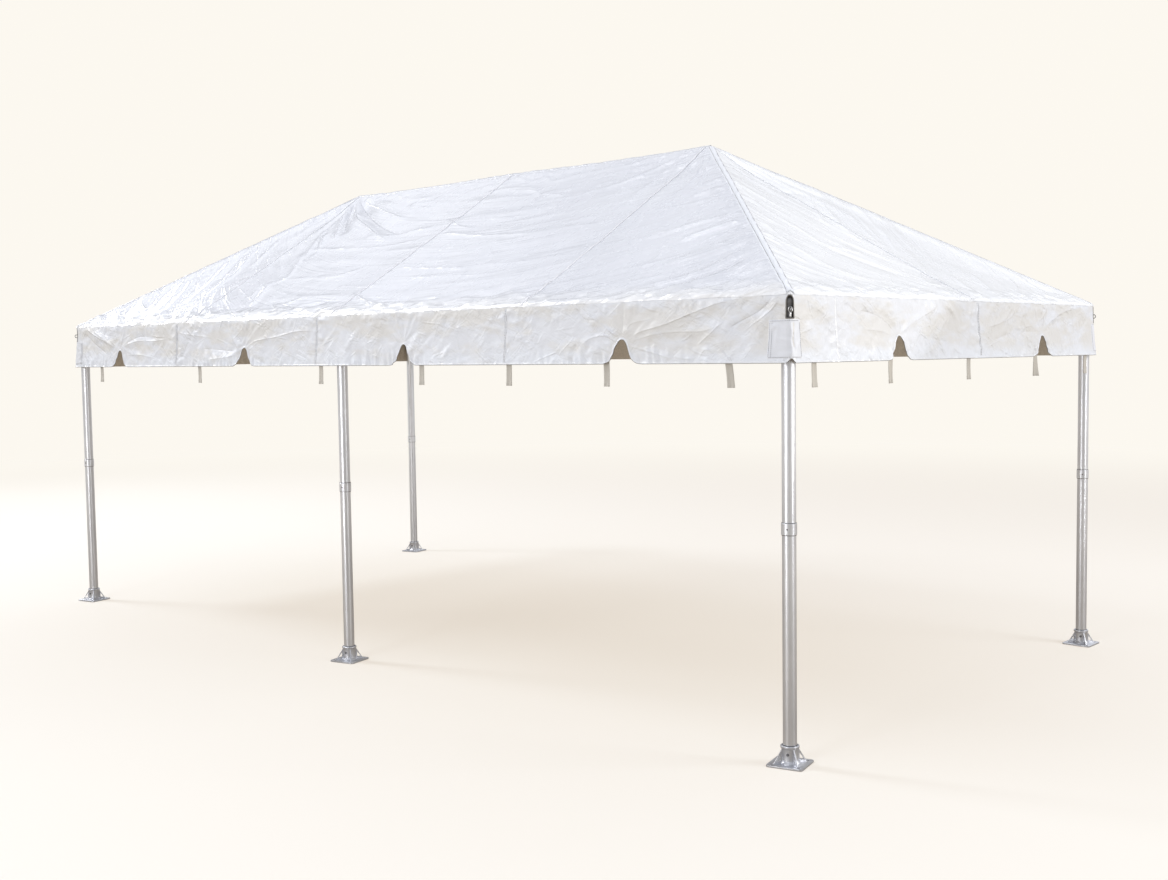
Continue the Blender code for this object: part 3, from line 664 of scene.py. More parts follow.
# Folds of the cover: (height, width) in millimetres and points in metres,
# across and up the slope.
FOLDS_LONG = (
    (4.5, 22, ((1.42, 1.86), (1.24, 1.8), (1.06, 1.77), (0.92, 1.72), (0.72, 1.7), (0.53, 1.67),
        (0.39, 1.65))),
    (5, 22, ((1.44, 1.83), (1.31, 1.74), (1.2, 1.63), (1.1, 1.51), (0.98, 1.43), (0.83, 1.39),
        (0.67, 1.39))),
    (2.5, 16, ((1.41, 1.78), (1.32, 1.58), (1.32, 1.41), (1.31, 1.29), (1.37, 1.11))),
    (3.5, 14, ((1.52, 1.74), (1.6, 1.54), (1.65, 1.37), (1.67, 1.24), (1.63, 1.15))),
    (3, 12, ((1.57, 1.68), (1.68, 1.46), (1.76, 1.24), (1.71, 1.19))),
    (-3.5, 12, ((1.84, 1.4), (1.76, 1.41), (1.71, 1.36))),
    (3.5, 12, ((1.92, 1.3), (1.85, 1.31), (1.79, 1.29))),
    (4.5, 13, ((2.03, 1.18), (1.92, 1.19), (1.84, 1.16), (1.77, 1.16))),
    (4.5, 16, ((2.09, 1.11), (1.98, 1.08), (1.86, 1.05), (1.72, 1.03), (1.59, 1.03))),
    (4, 12, ((2.22, 0.96), (2.17, 0.95), (2.17, 0.89))),
    (5.5, 18, ((2.31, 0.86), (2.2, 0.83), (2.06, 0.8), (1.92, 0.73), (1.78, 0.73))),
    (5.5, 18, ((2.39, 0.76), (2.27, 0.74), (2.14, 0.67), (2.07, 0.6))),
    (-4, 14, ((2.46, 0.69), (2.38, 0.66), (2.3, 0.62))),
    (5.5, 20, ((2.52, 0.61), (2.45, 0.55), (2.35, 0.48), (2.24, 0.42), (2.18, 0.35))),
    (6.5, 26, ((2.61, 0.5), (2.54, 0.39), (2.44, 0.26), (2.29, 0.17), (2.17, 0.13))),
    (7.5, 26, ((2.7, 0.38), (2.59, 0.24), (2.44, 0.12), (2.26, 0.05), (2.12, 0.04))),
    (2.5, 10, ((2.39, 0.51), (2.48, 0.44), (2.6, 0.35))),
    (4, 16, ((1.39, 0.97), (1.24, 0.93), (1.02, 0.92), (0.84, 0.89), (0.57, 0.89))),
    (4, 14, ((1.93, 0.19), (1.79, 0.17), (1.68, 0.14))),
    (4, 14, ((1.95, 0.14), (1.8, 0.13), (1.66, 0.13))),
    (2.5, 14, ((1.39, 0.56), (1.19, 0.55), (1.0, 0.53))),
    (2, 9, ((2.03, 0.53), (2.05, 0.44), (2.03, 0.34), (2.07, 0.21), (2.09, 0.09))),
    (1.8, 9, ((0.64, 1.56), (0.7, 1.37), (0.76, 1.14), (0.79, 0.95))),
    (3.5, 12, ((0.41, 1.45), (0.57, 1.42), (0.69, 1.38))),
    (3.5, 12, ((0.07, 1.55), (0.23, 1.54), (0.42, 1.47))),
    (4.5, 14, ((0.83, 0.91), (0.65, 0.9), (0.39, 0.92), (0.21, 0.95), (-0.09, 1.0))),
    (4, 13, ((0.68, 0.49), (0.38, 0.52), (0.06, 0.55), (-0.06, 0.55))),
    (3.5, 11, ((-0.12, 0.98), (-0.33, 0.94), (-0.56, 0.91), (-1.01, 0.94), (-1.52, 1.0))),
    (4.5, 18, ((-0.23, 1.13), (-0.49, 1.09), (-0.74, 1.07), (-0.93, 1.12))),
    (4, 14, ((0.39, 1.5), (0.22, 1.57), (0.0, 1.59), (-0.16, 1.57))),
    (3, 12, ((0.55, 1.49), (0.45, 1.44), (0.46, 1.32))),
    (4, 12, ((-0.17, 1.2), (0.02, 1.09), (0.19, 1.04))),
    (2.5, 12, ((1.15, 0.53), (0.95, 0.52), (0.73, 0.53))),
    (3.5, 14, ((-0.81, 1.44), (-0.87, 1.55), (-0.7, 1.55), (-0.66, 1.64))),
    (3.5, 14, ((-1.25, 1.76), (-1.07, 1.67), (-0.92, 1.63), (-0.74, 1.62))),
    (1.8, 9, ((0.35, 0.51), (0.38, 0.33), (0.35, 0.22))),
    (1.8, 9, ((0.69, 0.47), (0.71, 0.28), (0.72, 0.2))),
    (4.5, 14, ((-0.03, 0.21), (0.22, 0.11), (0.4, 0.06))),
    (4.5, 14, ((-0.13, 0.26), (0.13, 0.14), (0.23, 0.08))),
    (2.5, 12, ((-0.4, 0.63), (-0.6, 0.52), (-0.8, 0.54))),
    (9, 34, ((-1.69, 1.78), (-1.37, 1.62), (-1.08, 1.47), (-0.81, 1.35), (-0.69, 1.33))),
    (-8, 36, ((-1.66, 1.74), (-1.18, 1.41), (-0.79, 1.19), (-0.53, 1.1), (-0.39, 1.16))),
    (9, 26, ((-1.73, 1.79), (-1.53, 1.57), (-1.32, 1.4), (-1.07, 1.26), (-0.76, 1.08), (-0.53, 0.98))),
    (-7, 24, ((-1.71, 1.73), (-1.52, 1.47), (-1.23, 1.17))),
    (6, 18, ((-1.74, 1.76), (-1.66, 1.57), (-1.47, 1.33), (-1.24, 1.08))),
    (5, 14, ((-1.66, 1.52), (-1.49, 1.21), (-1.29, 0.99))),
    (-4, 14, ((-1.58, 1.38), (-1.44, 1.11), (-1.21, 0.86))),
    (4, 12, ((-1.6, 1.33), (-1.42, 1.01), (-1.28, 0.82))),
    (6, 20, ((-2.53, 0.63), (-2.35, 0.41), (-2.25, 0.24), (-2.23, 0.15))),
    (-6, 18, ((-2.59, 0.63), (-2.5, 0.42), (-2.33, 0.2))),
    (5, 14, ((-2.41, 0.65), (-2.29, 0.47), (-2.14, 0.22), (-2.14, 0.12))),
    (5, 18, ((-2.28, 0.94), (-2.13, 0.63), (-2.05, 0.44), (-1.98, 0.25))),
    (-4.5, 16, ((-2.33, 0.92), (-2.27, 0.77), (-2.15, 0.59))),
    (5.5, 20, ((-2.17, 1.08), (-1.97, 0.74), (-1.92, 0.54), (-1.84, 0.33))),
    (-4.5, 18, ((-2.22, 1.02), (-2.12, 0.8), (-2.02, 0.6))),
    (4.5, 16, ((-2.02, 1.21), (-1.93, 0.97), (-1.85, 0.77))),
    (-5.5, 20, ((-2.73, 0.57), (-2.55, 0.38), (-2.44, 0.23))),
    (5, 16, ((-2.79, 0.45), (-2.64, 0.32), (-2.37, 0.19))),
    (5, 12, ((-2.8, 0.27), (-2.71, 0.11))),
    (-4, 12, ((-2.75, 0.3), (-2.62, 0.13))),
    (6, 22, ((-1.29, 0.52), (-1.16, 0.32), (-1.07, 0.16))),
    (-4, 16, ((-1.3, 0.46), (-1.13, 0.21))),
    (4, 14, ((-1.32, 0.42), (-1.13, 0.17))),
    (3.5, 14, ((-1.44, 0.98), (-1.28, 0.75), (-1.16, 0.56), (-1.26, 0.5))),
    (4.5, 14, ((-1.51, 1.24), (-1.29, 0.96), (-1.21, 0.84))),
    (2.2, 9, ((-1.48, 1.0), (-1.18, 0.95), (-0.91, 0.94))),
    (2.2, 9, ((-1.33, 0.56), (-0.91, 0.53), (-0.46, 0.53))),
)
FOLDS_END = (
    (-4, 26, ((-0.15, 1.52), (-0.06, 1.4), (-0.01, 1.28), (0.23, 1.28))),
    (4, 16, ((0.25, 1.26), (0.05, 1.07), (-0.09, 0.91), (-0.11, 0.84))),
    (4.5, 20, ((0.28, 1.22), (0.09, 0.95), (-0.01, 0.79), (-0.07, 0.63))),
    (2.5, 16, ((-0.78, 0.88), (-0.85, 0.68), (-0.88, 0.5), (-0.85, 0.34), (-0.74, 0.21), (-0.44, 0.15))),
    (2.5, 16, ((-0.56, 1.12), (-0.57, 0.95), (-0.54, 0.76), (-0.53, 0.54))),
    (2.5, 16, ((-0.39, 1.33), (-0.52, 1.12), (-0.51, 0.98))),
    (3, 16, ((-1.35, 0.19), (-1.26, 0.1), (-1.05, 0.05))),
    (2.5, 14, ((-0.95, 0.67), (-1.02, 0.43), (-1.0, 0.3))),
    (2.5, 14, ((-0.6, 0.53), (-0.42, 0.55), (-0.27, 0.49))),
    (3, 16, ((0.36, 1.06), (0.21, 0.82), (0.11, 0.61))),
    (3, 14, ((0.51, 0.93), (0.3, 0.71), (0.14, 0.53))),
    (3.5, 16, ((-0.09, 0.27), (-0.11, 0.18), (0.02, 0.15), (0.03, 0.12))),
    (3.5, 16, ((0.33, 0.3), (0.25, 0.17), (0.24, 0.09), (0.16, -0.02))),
    (4, 18, ((1.05, 0.35), (0.95, 0.23), (0.76, 0.08), (0.72, 0.01))),
    (3, 14, ((0.62, 0.34), (0.54, 0.2), (0.42, 0.05))),
    (4, 14, ((1.17, 0.36), (1.17, 0.22), (1.12, 0.08))),
)
FOLDS_SKIRT_FRONT = (
    (6, 30, ((2.2, 1.81), (2.27, 1.85), (2.41, 1.88), (2.58, 1.93), (2.73, 1.97), (2.89, 1.99))),
    (4, 18, ((2.22, 1.81), (2.36, 1.84), (2.49, 1.85), (2.64, 1.85), (2.75, 1.88))),
    (4.5, 20, ((2.22, 1.79), (2.35, 1.76), (2.47, 1.73))),
    (5, 20, ((2.16, 1.83), (2.08, 1.87), (1.99, 1.92), (1.93, 1.94))),
    (4, 16, ((2.13, 1.83), (2.06, 1.84), (1.98, 1.83), (1.92, 1.8))),
    (3, 16, ((2.19, 1.84), (2.22, 1.89), (2.34, 1.91))),
    (6, 30, ((3.04, 1.98), (2.98, 1.92), (2.88, 1.86))),
    (-5, 26, ((3.01, 1.99), (2.94, 1.93), (2.85, 1.89), (2.76, 1.85))),
    (4, 18, ((2.75, 1.89), (2.67, 1.83), (2.61, 1.79))),
    (4, 14, ((2.62, 1.73), (2.66, 1.77), (2.71, 1.75))),
    (4, 14, ((2.48, 1.74), (2.54, 1.73), (2.6, 1.73))),
    (-4, 22, ((1.88, 1.97), (1.93, 1.92), (2.04, 1.91))),
    (7, 30, ((-2.96, 2.0), (-2.82, 1.94), (-2.65, 1.89), (-2.51, 1.84))),
    (-6, 28, ((-2.96, 1.95), (-2.82, 1.88), (-2.61, 1.79))),
    (5, 22, ((-2.41, 1.84), (-2.24, 1.88), (-2.0, 1.88), (-1.81, 1.89))),
    (-4, 20, ((-2.38, 1.86), (-2.17, 1.91), (-1.83, 1.89))),
    (5, 20, ((-2.5, 1.84), (-2.65, 1.9), (-2.81, 1.96))),
    (4, 18, ((-2.36, 1.79), (-2.18, 1.79), (-2.0, 1.77))),
    (5, 22, ((-0.96, 1.81), (-1.03, 1.87), (-1.09, 1.94))),
    (5, 22, ((-0.91, 1.81), (-0.79, 1.86), (-0.59, 1.88), (-0.37, 1.91), (-0.18, 1.91))),
    (-4, 20, ((-1.01, 1.8), (-1.19, 1.81), (-1.39, 1.82))),
    (4, 18, ((-0.97, 1.78), (-1.16, 1.76), (-1.35, 1.75))),
    (3, 12, ((-2.12, 1.97), (-2.04, 1.92), (-1.83, 1.9))),
    (4, 16, ((-1.7, 1.93), (-1.5, 1.91), (-1.3, 1.89))),
)
FOLDS_SKIRT_END = (
    (5, 26, ((-0.69, 1.83), (-0.6, 1.87), (-0.45, 1.92), (-0.32, 1.96))),
    (-5, 28, ((-0.73, 1.83), (-0.83, 1.89), (-0.93, 1.92), (-1.04, 1.93))),
    (4, 18, ((-0.76, 1.82), (-0.86, 1.84), (-1.01, 1.85))),
    (6, 22, ((0.86, 1.86), (1.01, 1.92), (1.18, 1.96), (1.44, 1.99))),
    (-4, 20, ((0.82, 1.84), (0.63, 1.84), (0.39, 1.82), (0.21, 1.79))),
    (4, 16, ((0.85, 1.87), (0.86, 1.92), (0.83, 1.97))),
    (4.5, 14, ((0.5, 1.98), (0.43, 1.93), (0.35, 1.89), (0.17, 1.86))),
    (4, 14, ((0.53, 1.97), (0.47, 1.92), (0.37, 1.89))),
    (4, 16, ((-0.18, 1.76), (-0.12, 1.73))),
    (4, 18, ((1.25, 1.98), (1.23, 1.91), (1.25, 1.85))),
    (4, 18, ((-0.22, 1.91), (-0.3, 1.85), (-0.35, 1.79))),
)


TURN_U = np.array((-3.2, -2.3, -1.6, -0.8, 0.3, 1.4, 2.3, 3.2))
TURN_A = np.radians((-50, -47, -36, -12, 1, 16, 26, 36))
STREAM_U = np.linspace(-3.2, 3.2, 641)
STREAM_V = np.concatenate([[0], np.cumsum(np.tan(np.interp((STREAM_U[1:] + STREAM_U[:-1]) / 2, TURN_U, TURN_A))
                                          * np.diff(STREAM_U))])
END_V = np.linspace(-0.1, 1.9, 401)
END_L = np.radians(np.interp(END_V, (0.0, 0.3, 0.8, 1.8), (-24, -40, -68, -80)))
END_R = np.radians(np.interp(END_V, (0.0, 0.5, 1.2, 1.8), (50, 54, 58, 74)))
STREAM_L = np.cumsum(1 / np.tan(END_L)) * (END_V[1] - END_V[0])
STREAM_R = np.cumsum(1 / np.tan(END_R)) * (END_V[1] - END_V[0])


def long_stream(u, v):
    """Coordinates along and across the pull of a long slope."""
    return u, v - np.interp(u, STREAM_U, STREAM_V)


def end_stream(u, v, right):
    """The same for an end slope, right or left of its middle seam."""
    across = np.where(right, u - np.interp(v, END_V, STREAM_R) + 20.0, u - np.interp(v, END_V, STREAM_L))
    return v * 1.2, across * 0.75


def stream_line(rng, u, v, length):
    """A stretch of a streamline of a long slope."""
    a = float(np.interp(u, TURN_U, TURN_A)) + rng.normal(0, 0.05)
    half = length / 2 * math.cos(a)
    us = np.linspace(u - half, u + half, 5)
    vs = v + np.interp(us, STREAM_U, STREAM_V) - np.interp(u, STREAM_U, STREAM_V)
    vs = vs + rng.normal(0, 0.010, 5) * length + (us - u) * rng.normal(0, 0.06)
    return np.stack([us, vs], -1)


def end_line(rng, u, v, length, right):
    """A stretch of a streamline of an end slope."""
    angle = float(np.interp(v, END_V, END_R if right else END_L))
    half = length / 2 * abs(math.sin(angle))
    vs = np.linspace(v - half, v + half, 5)
    table = STREAM_R if right else STREAM_L
    us = u + np.interp(vs, END_V, table) - np.interp(v, END_V, table)
    return np.stack([us + rng.normal(0, 0.008, 5) * length, vs], -1)


def long_slope(seed, mirror, seams):
    """Folds of a long slope, mirrored end for end for the back."""
    rng = np.random.default_rng(seed)
    top = math.hypot(COVER_Y, RIDGE_Z - EAVE_Z)
    field = Raster(-COVER_X - 0.05, COVER_X + 0.05, -0.05, top + 0.05, 0.011)
    creases = []
    # broad tension bands, then streaks, all along the pull of the cloth
    for _ in range(44):
        u, v = rng.uniform(-2.8, 2.9), rng.uniform(0.15, 1.7)
        field.path(stream_line(rng, u, v, rng.uniform(0.6, 1.3)), rng.uniform(0.035, 0.060),
                   rng.choice((-1, 1)) * rng.uniform(1.6, 3.6) * 1e-3, 2.0, 0.3)
    for _ in range(130):
        u, v = rng.uniform(-2.9, 3.0), rng.uniform(0.05, 1.76)
        line = stream_line(rng, u, v, rng.uniform(0.35, 1.10))
        high = rng.uniform(1.0, 3.2)
        field.path(line, rng.uniform(0.014, 0.022), high * 1e-3, 1.35, 0.3)
        if rng.uniform() < 0.6:
            creases.append((high * 0.00042, line))
    # the folds that show one by one
    for high, wide, points in FOLDS_LONG:
        field.path(points, wide / 1000.0, 1.25 * high / 1000.0, 1.3)
        creases.append((high * 0.00046, points))
    # short puckers along the hips, close together
    for corner, peak, sign in ((COVER_X, PEAK_R, 1), (-COVER_X, PEAK_L, -1)):
        for k in range(64):
            t = (k + rng.uniform(0, 1)) / 64 * 0.93 + 0.02
            length = rng.uniform(0.07, 0.26) * (1.1 - 0.5 * t)
            u, v = corner + (peak - corner) * t, top * t
            a = math.radians(rng.normal(14 if sign > 0 else -40, 8)) + (0.28 * (1 - t) if sign > 0 else -0.2 * (1 - t))
            way = -sign * np.array((math.cos(a), math.sin(a) * sign * (1 if sign > 0 else -1)))
            way = np.array((-sign * math.cos(a), -abs(math.sin(a))))
            start = np.array((u, v)) + way * 0.012
            line = [start, start + way * length * 0.5 + (0.0, rng.normal(0, 0.006)), start + way * length]
            field.path(line, rng.uniform(0.011, 0.018), rng.choice((-1, 1, 1)) * rng.uniform(1.6, 4.2) * 1e-3,
                       1.4, 0.3)
            if k % 2 == 0:
                creases.append((0.0014, line))
    # crumpled band along the eave
    for _ in range(560):
        u = rng.uniform(-3.05, 3.05)
        v = abs(rng.normal(0.0, 0.062)) + 0.014
        a = rng.choice((-1, 1, 1, 1, 1) if u > -0.5 else (-1, -1, -1, 1)) * rng.uniform(0.06, 0.50)
        field.stroke(u, v, a, rng.uniform(0.10, 0.32), rng.uniform(0.014, 0.024),
                     rng.choice((-1, 1, 1)) * rng.uniform(2.4, 6.0) * 1e-3, rng.normal(0, 0.2), int(rng.integers(2)))
    # puckers under the ridge
    for _ in range(130):
        u = rng.uniform(PEAK_L, PEAK_R)
        length = rng.uniform(0.04, 0.14)
        field.stroke(u, top - 0.02 - length * 0.4, rng.normal(1.2, 0.4), length,
                     rng.uniform(0.012, 0.017), rng.uniform(1.0, 2.6) * 1e-3, 0.0, 0)
    # more of both round the middle, where two slack panels meet the ridge
    for _ in range(60):
        u, v = rng.normal(-0.05, 0.30), top - abs(rng.normal(0.0, 0.13)) - 0.03
        field.stroke(u, v, rng.normal(-0.1, 0.35), rng.uniform(0.06, 0.20), rng.uniform(0.012, 0.018),
                     rng.uniform(1.4, 3.2) * 1e-3, 0.0, int(rng.integers(2)))
    for (a, b) in seams:
        seam_puckers(rng, field, a, b, 60, 0.12, 1.6e-3)
    field.fan((PEAK_R, top), ((250, 2.6, 3.5e-3, 0.55), (262, 2.2, -3.0e-3, 0.5), (272, 2.4, 3.2e-3, 0.5),
                              (281, 2.2, -2.6e-3, 0.45), (290, 2.6, 3.4e-3, 0.45), (300, 2.2, 2.4e-3, 0.5),
                              (196, 2.4, 3.0e-3, 0.7), (206, 2.6, -3.0e-3, 0.6)))
    field.fan((PEAK_L, top), ((-20, 3.2, 8.0e-3, 0.7), (-33, 4.5, -13.0e-3, 0.62), (-46, 4.2, 14.0e-3, 0.60),
                              (-56, 3.2, -11.0e-3, 0.55), (-64, 2.8, 7.0e-3, 0.5), (-72, 2.8, -6.0e-3, 0.5),
                              (-80, 2.8, 6.0e-3, 0.48), (-90, 2.6, -4.0e-3, 0.45), (-100, 3.2, 5.0e-3, 0.55),
                              (-110, 3.0, -4.0e-3, 0.5), (-121, 3.0, 4.5e-3, 0.55)))
    # fine lines from packing, in every direction
    for _ in range(46):
        u, v = rng.uniform(-2.6, 2.6), rng.uniform(0.1, 1.6)
        a, length = rng.uniform(0, math.pi), rng.uniform(0.08, 0.42)
        way = np.array((math.cos(a), math.sin(a))) * length / 2
        creases.append((rng.uniform(0.0003, 0.0007), [(u - way[0], v - way[1]), (u + rng.normal(0, 0.01), v),
                                                      (u + way[0], v + way[1])]))
    if mirror:
        field.h = field.h[::-1].copy()
        creases = [(high, np.asarray(points, float) * (-1.0, 1.0)) for high, points in creases]
    return field, creases


def end_slope(seed, half, top, mirror, centre):
    """Folds of an end slope, u from -half to half, its peak at u = 0."""
    rng = np.random.default_rng(seed)
    field = Raster(-half - 0.05, half + 0.05, -0.05, top + 0.05, 0.011)
    creases = []
    reach = math.hypot(COVER_X - PEAK_R, RIDGE_Z - EAVE_Z)
    for count, low, high, w0, w1, h0, h1, sharp in ((26, 0.5, 1.0, 0.035, 0.055, 1.2, 2.6, 2.0),
                                                    (150, 0.22, 0.7, 0.013, 0.020, 0.6, 1.8, 1.35)):
        for _ in range(count):
            u, v = rng.uniform(-1.45, 1.45), rng.uniform(0.02, 1.7)
            line = end_line(rng, u, v, rng.uniform(low, high), u > centre * (1 - v / top))
            tall = rng.uniform(h0, h1)
            field.path(line, rng.uniform(w0, w1), tall * 1e-3 * (rng.choice((-1, 1)) if sharp == 2.0 else 1),
                       sharp, 0.3)
            if sharp < 2 and rng.uniform() < 0.4:
                creases.append((tall * 0.00040, line))
    for high, wide, points in FOLDS_END:
        points = np.asarray(points) * (1.0, top / reach)
        field.path(points, wide / 1000.0, high / 1000.0, 1.3)
        creases.append((high * 0.00034, points))
    for sign in (-1, 1):
        for k in range(46):
            t = (k + rng.uniform(0, 1)) / 46 * 0.92 + 0.02
            length = rng.uniform(0.06, 0.22) * (1.1 - 0.5 * t)
            a = math.radians(rng.normal(55, 9))
            way = np.array((-sign * math.cos(a), -math.sin(a)))
            start = np.array((sign * half * (1 - t), top * t)) + way * 0.012
            field.path([start, start + way * length * 0.5, start + way * length], rng.uniform(0.011, 0.017),
                       rng.choice((-1, 1, 1)) * rng.uniform(0.9, 2.6) * 1e-3, 1.4, 0.3)
    for _ in range(240):
        u = rng.uniform(-1.5, 1.5)
        v = abs(rng.normal(0.0, 0.060)) + 0.014
        a = rng.choice((-1, 1)) * rng.uniform(0.15, 0.95)
        field.stroke(u, v, a, rng.uniform(0.06, 0.17), rng.uniform(0.013, 0.021),
                     rng.choice((-1, 1, 1)) * rng.uniform(1.0, 3.0) * 1e-3, rng.normal(0, 0.2), int(rng.integers(2)))
    seam_puckers(rng, field, (centre, 0.0), (0.0, top), 50, 0.12, 1.2e-3)
    field.fan((0.0, top), ((-70, 3.5, 4.5e-3, 0.9), (-90, 3.0, -3.0e-3, 0.6), (-104, 3.0, 3.0e-3, 0.8),
                           (-118, 2.8, 3.0e-3, 0.7), (-62, 2.6, -3.0e-3, 0.7), (-80, 2.6, 2.6e-3, 0.6)))
    for _ in range(16):
        u, v = rng.uniform(-1.1, 1.1), rng.uniform(0.1, 1.0)
        a, length = rng.uniform(0, math.pi), rng.uniform(0.08, 0.36)
        way = np.array((math.cos(a), math.sin(a))) * length / 2
        creases.append((rng.uniform(0.0003, 0.0006), [(u - way[0], v - way[1]), (u, v + rng.normal(0, 0.01)),
                                                      (u + way[0], v + way[1])]))
    if mirror:
        field.h = field.h[::-1].copy()
        creases = [(high, np.asarray(points, float) * (-1.0, 1.0)) for high, points in creases]
    return field, creases


# ------------------------------------------------------------------ roof sheet
def offsets(count):
    """Distances in from the eave, finer where the sheet turns over it."""
    first = [0.0, 0.0022, 0.0060, 0.0120, 0.0210]
    rest = np.linspace(first[-1], COVER_Y, count - len(first) + 2)[1:]
    return np.concatenate([first, rest])


HALF = 110
off_y = offsets(HALF)
ratio_l, ratio_r = (COVER_X + PEAK_L) / COVER_Y, (COVER_X - PEAK_R) / COVER_Y
MIDDLE = 226
grid_y = np.concatenate([-COVER_Y + off_y, (COVER_Y - off_y)[::-1][1:]])
grid_x = np.concatenate([-COVER_X + off_y * ratio_l,
                         np.linspace(PEAK_L, PEAK_R, MIDDLE + 1)[1:],
                         (COVER_X - off_y * ratio_r)[::-1][1:]])
NX, NY = len(grid_x), len(grid_y)
GX, GY = np.meshgrid(grid_x, grid_y, indexing="ij")

plane_f = EAVE_Z + (GY + COVER_Y) * math.tan(SLOPE_F)
plane_b = EAVE_Z + (COVER_Y - GY) * math.tan(SLOPE_F)
plane_r = EAVE_Z + (COVER_X - GX) * math.tan(SLOPE_R)
plane_l = EAVE_Z + (GX + COVER_X) * math.tan(SLOPE_L)
stack = np.stack([plane_f, plane_r, plane_b, plane_l])
which = stack.argmin(0)
height = stack.min(0)

roof_top = math.hypot(COVER_Y, RIDGE_Z - EAVE_Z)
top_r = math.hypot(COVER_X - PEAK_R, RIDGE_Z - EAVE_Z)
top_l = math.hypot(COVER_X + PEAK_L, RIDGE_Z - EAVE_Z)

FRONT_SEAMS = (((1.505, 0.0), (1.46, roof_top)), ((-0.04, 0.0), (-0.12, roof_top)),
               ((-1.59, 0.0), (-1.742, roof_top)))
BACK_SEAMS = tuple(((-a[0], a[1]), (-b[0], b[1])) for a, b in FRONT_SEAMS)
END_SEAM_R, END_SEAM_L = 0.06, -0.06

field_front, creases_front = long_slope(11, False, FRONT_SEAMS)
field_back, creases_back = long_slope(23, True, FRONT_SEAMS)
field_right, creases_right = end_slope(37, COVER_Y, top_r, False, END_SEAM_R)
field_left, creases_left = end_slope(53, COVER_Y, top_l, True, END_SEAM_R)

local_u = np.choose(which, [GX, GY, -GX, -GY])
local_v = np.choose(which, [(GY + COVER_Y) / math.cos(SLOPE_F), (COVER_X - GX) / math.cos(SLOPE_R),
                            (COVER_Y - GY) / math.cos(SLOPE_F), (GX + COVER_X) / math.cos(SLOPE_L)])
fold = np.choose(which, [field_front.sample(local_u, local_v), field_right.sample(local_u, local_v),
                         field_back.sample(local_u, local_v), field_left.sample(local_u, local_v)])

# distance in plan from the lines that hold the cover: hips, ridge and eaves
edge_eave = np.minimum(COVER_Y - np.abs(GY), np.minimum(COVER_X - GX, COVER_X + GX))
gap_hip = np.sort(stack, axis=0)[1] - height      # height to the next plane
hold = np.minimum(edge_eave, gap_hip / 0.85)
sag = -0.020 * (1 - np.exp(-hold / 0.32)) * np.clip(hold / 0.12, 0, 1)
rafter = np.exp(-(GX / 0.20) ** 2)
sag *= 1 - 0.55 * rafter * (which % 2 == 0)
calm = np.clip(hold / 0.012, 0, 1) * 0.8 + 0.2 * np.clip(hold / 0.06, 0, 1)
fold = np.clip(fold, -0.014, 0.017)
push = sag + fold * calm

normals = np.array([(0, -math.sin(SLOPE_F), math.cos(SLOPE_F)),
                    (math.sin(SLOPE_R), 0, math.cos(SLOPE_R)),
                    (0, math.sin(SLOPE_F), math.cos(SLOPE_F)),
                    (-math.sin(SLOPE_L), 0, math.cos(SLOPE_L))])[which]
roof = np.stack([GX, GY, height], -1) + normals * push[..., None]

# the eave turns over on a small radius, and the edge wanders a little
EAVE_R = 0.021
round_off = np.clip(1 - edge_eave / EAVE_R, 0, 1)
roof[..., 2] -= 0.0105 * (1 - np.sqrt(1 - 0.985 * round_off ** 2))
wander_rng = np.random.default_rng(5)
eave_wander = smooth_wave(wander_rng, GX * 1.0 + GY * 1.7, 6, 0.12, 0.6)
near_eave = np.exp(-(edge_eave / 0.05) ** 2)
corner_far = np.clip(np.minimum(COVER_X - np.abs(GX), COVER_Y - np.abs(GY)) / 0.1, 0, 1)
along_far = np.clip((np.maximum(COVER_X - np.abs(GX), COVER_Y - np.abs(GY))) / 0.15, 0, 1)
roof[..., 2] += 0.0016 * eave_wander * near_eave * along_far
# the cloth pulls down a little from each peak, and humps over the crown fitting
for peak in (PEAK_L, PEAK_R):
    r = np.hypot(GX - peak, GY)
    roof[..., 2] -= 0.012 * np.exp(-((r - 0.30) / 0.20) ** 2) * (0.35 + 0.65 * np.clip(gap_hip / 0.1, 0, 1))
    roof[..., 2] -= 0.0
ridge_line = np.clip(1 - np.abs(GY) / 0.25, 0, 1) * (GX > PEAK_L) * (GX < PEAK_R)
dip = np.sin(np.clip((GX - PEAK_L) / (PEAK_R - PEAK_L), 0, 1) * math.pi * 2) ** 2
roof[..., 2] -= 0.008 * ridge_line ** 2 * dip
roof[..., 2] += 0.0014 * ridge_line ** 4 * smooth_wave(np.random.default_rng(9), GX, 6, 0.05, 0.3)

index = np.arange(NX * NY).reshape(NX, NY)
a, b, c, d = index[:-1, :-1], index[1:, :-1], index[1:, 1:], index[:-1, 1:]
cx = (GX[:-1, :-1] + GX[1:, 1:]) / 2
cy = (GY[:-1, :-1] + GY[1:, 1:]) / 2
first = ((cx < 0) == (cy < 0))[..., None, None]
tri_a = np.stack([np.stack([a, b, c], -1), np.stack([a, c, d], -1)], -2)
tri_b = np.stack([np.stack([a, b, d], -1), np.stack([b, c, d], -1)], -2)
roof_faces = np.where(first, tri_a, tri_b).reshape(-1, 3)


def slope_uv(side, x, y):
    """Coordinates across and up one of the four slopes."""
    return (np.choose(side, [x, y, -x, -y]),
            np.choose(side, [(y + COVER_Y) / math.cos(SLOPE_F), (COVER_X - x) / math.cos(SLOPE_R),
                             (COVER_Y - y) / math.cos(SLOPE_F), (x + COVER_X) / math.cos(SLOPE_L)]))


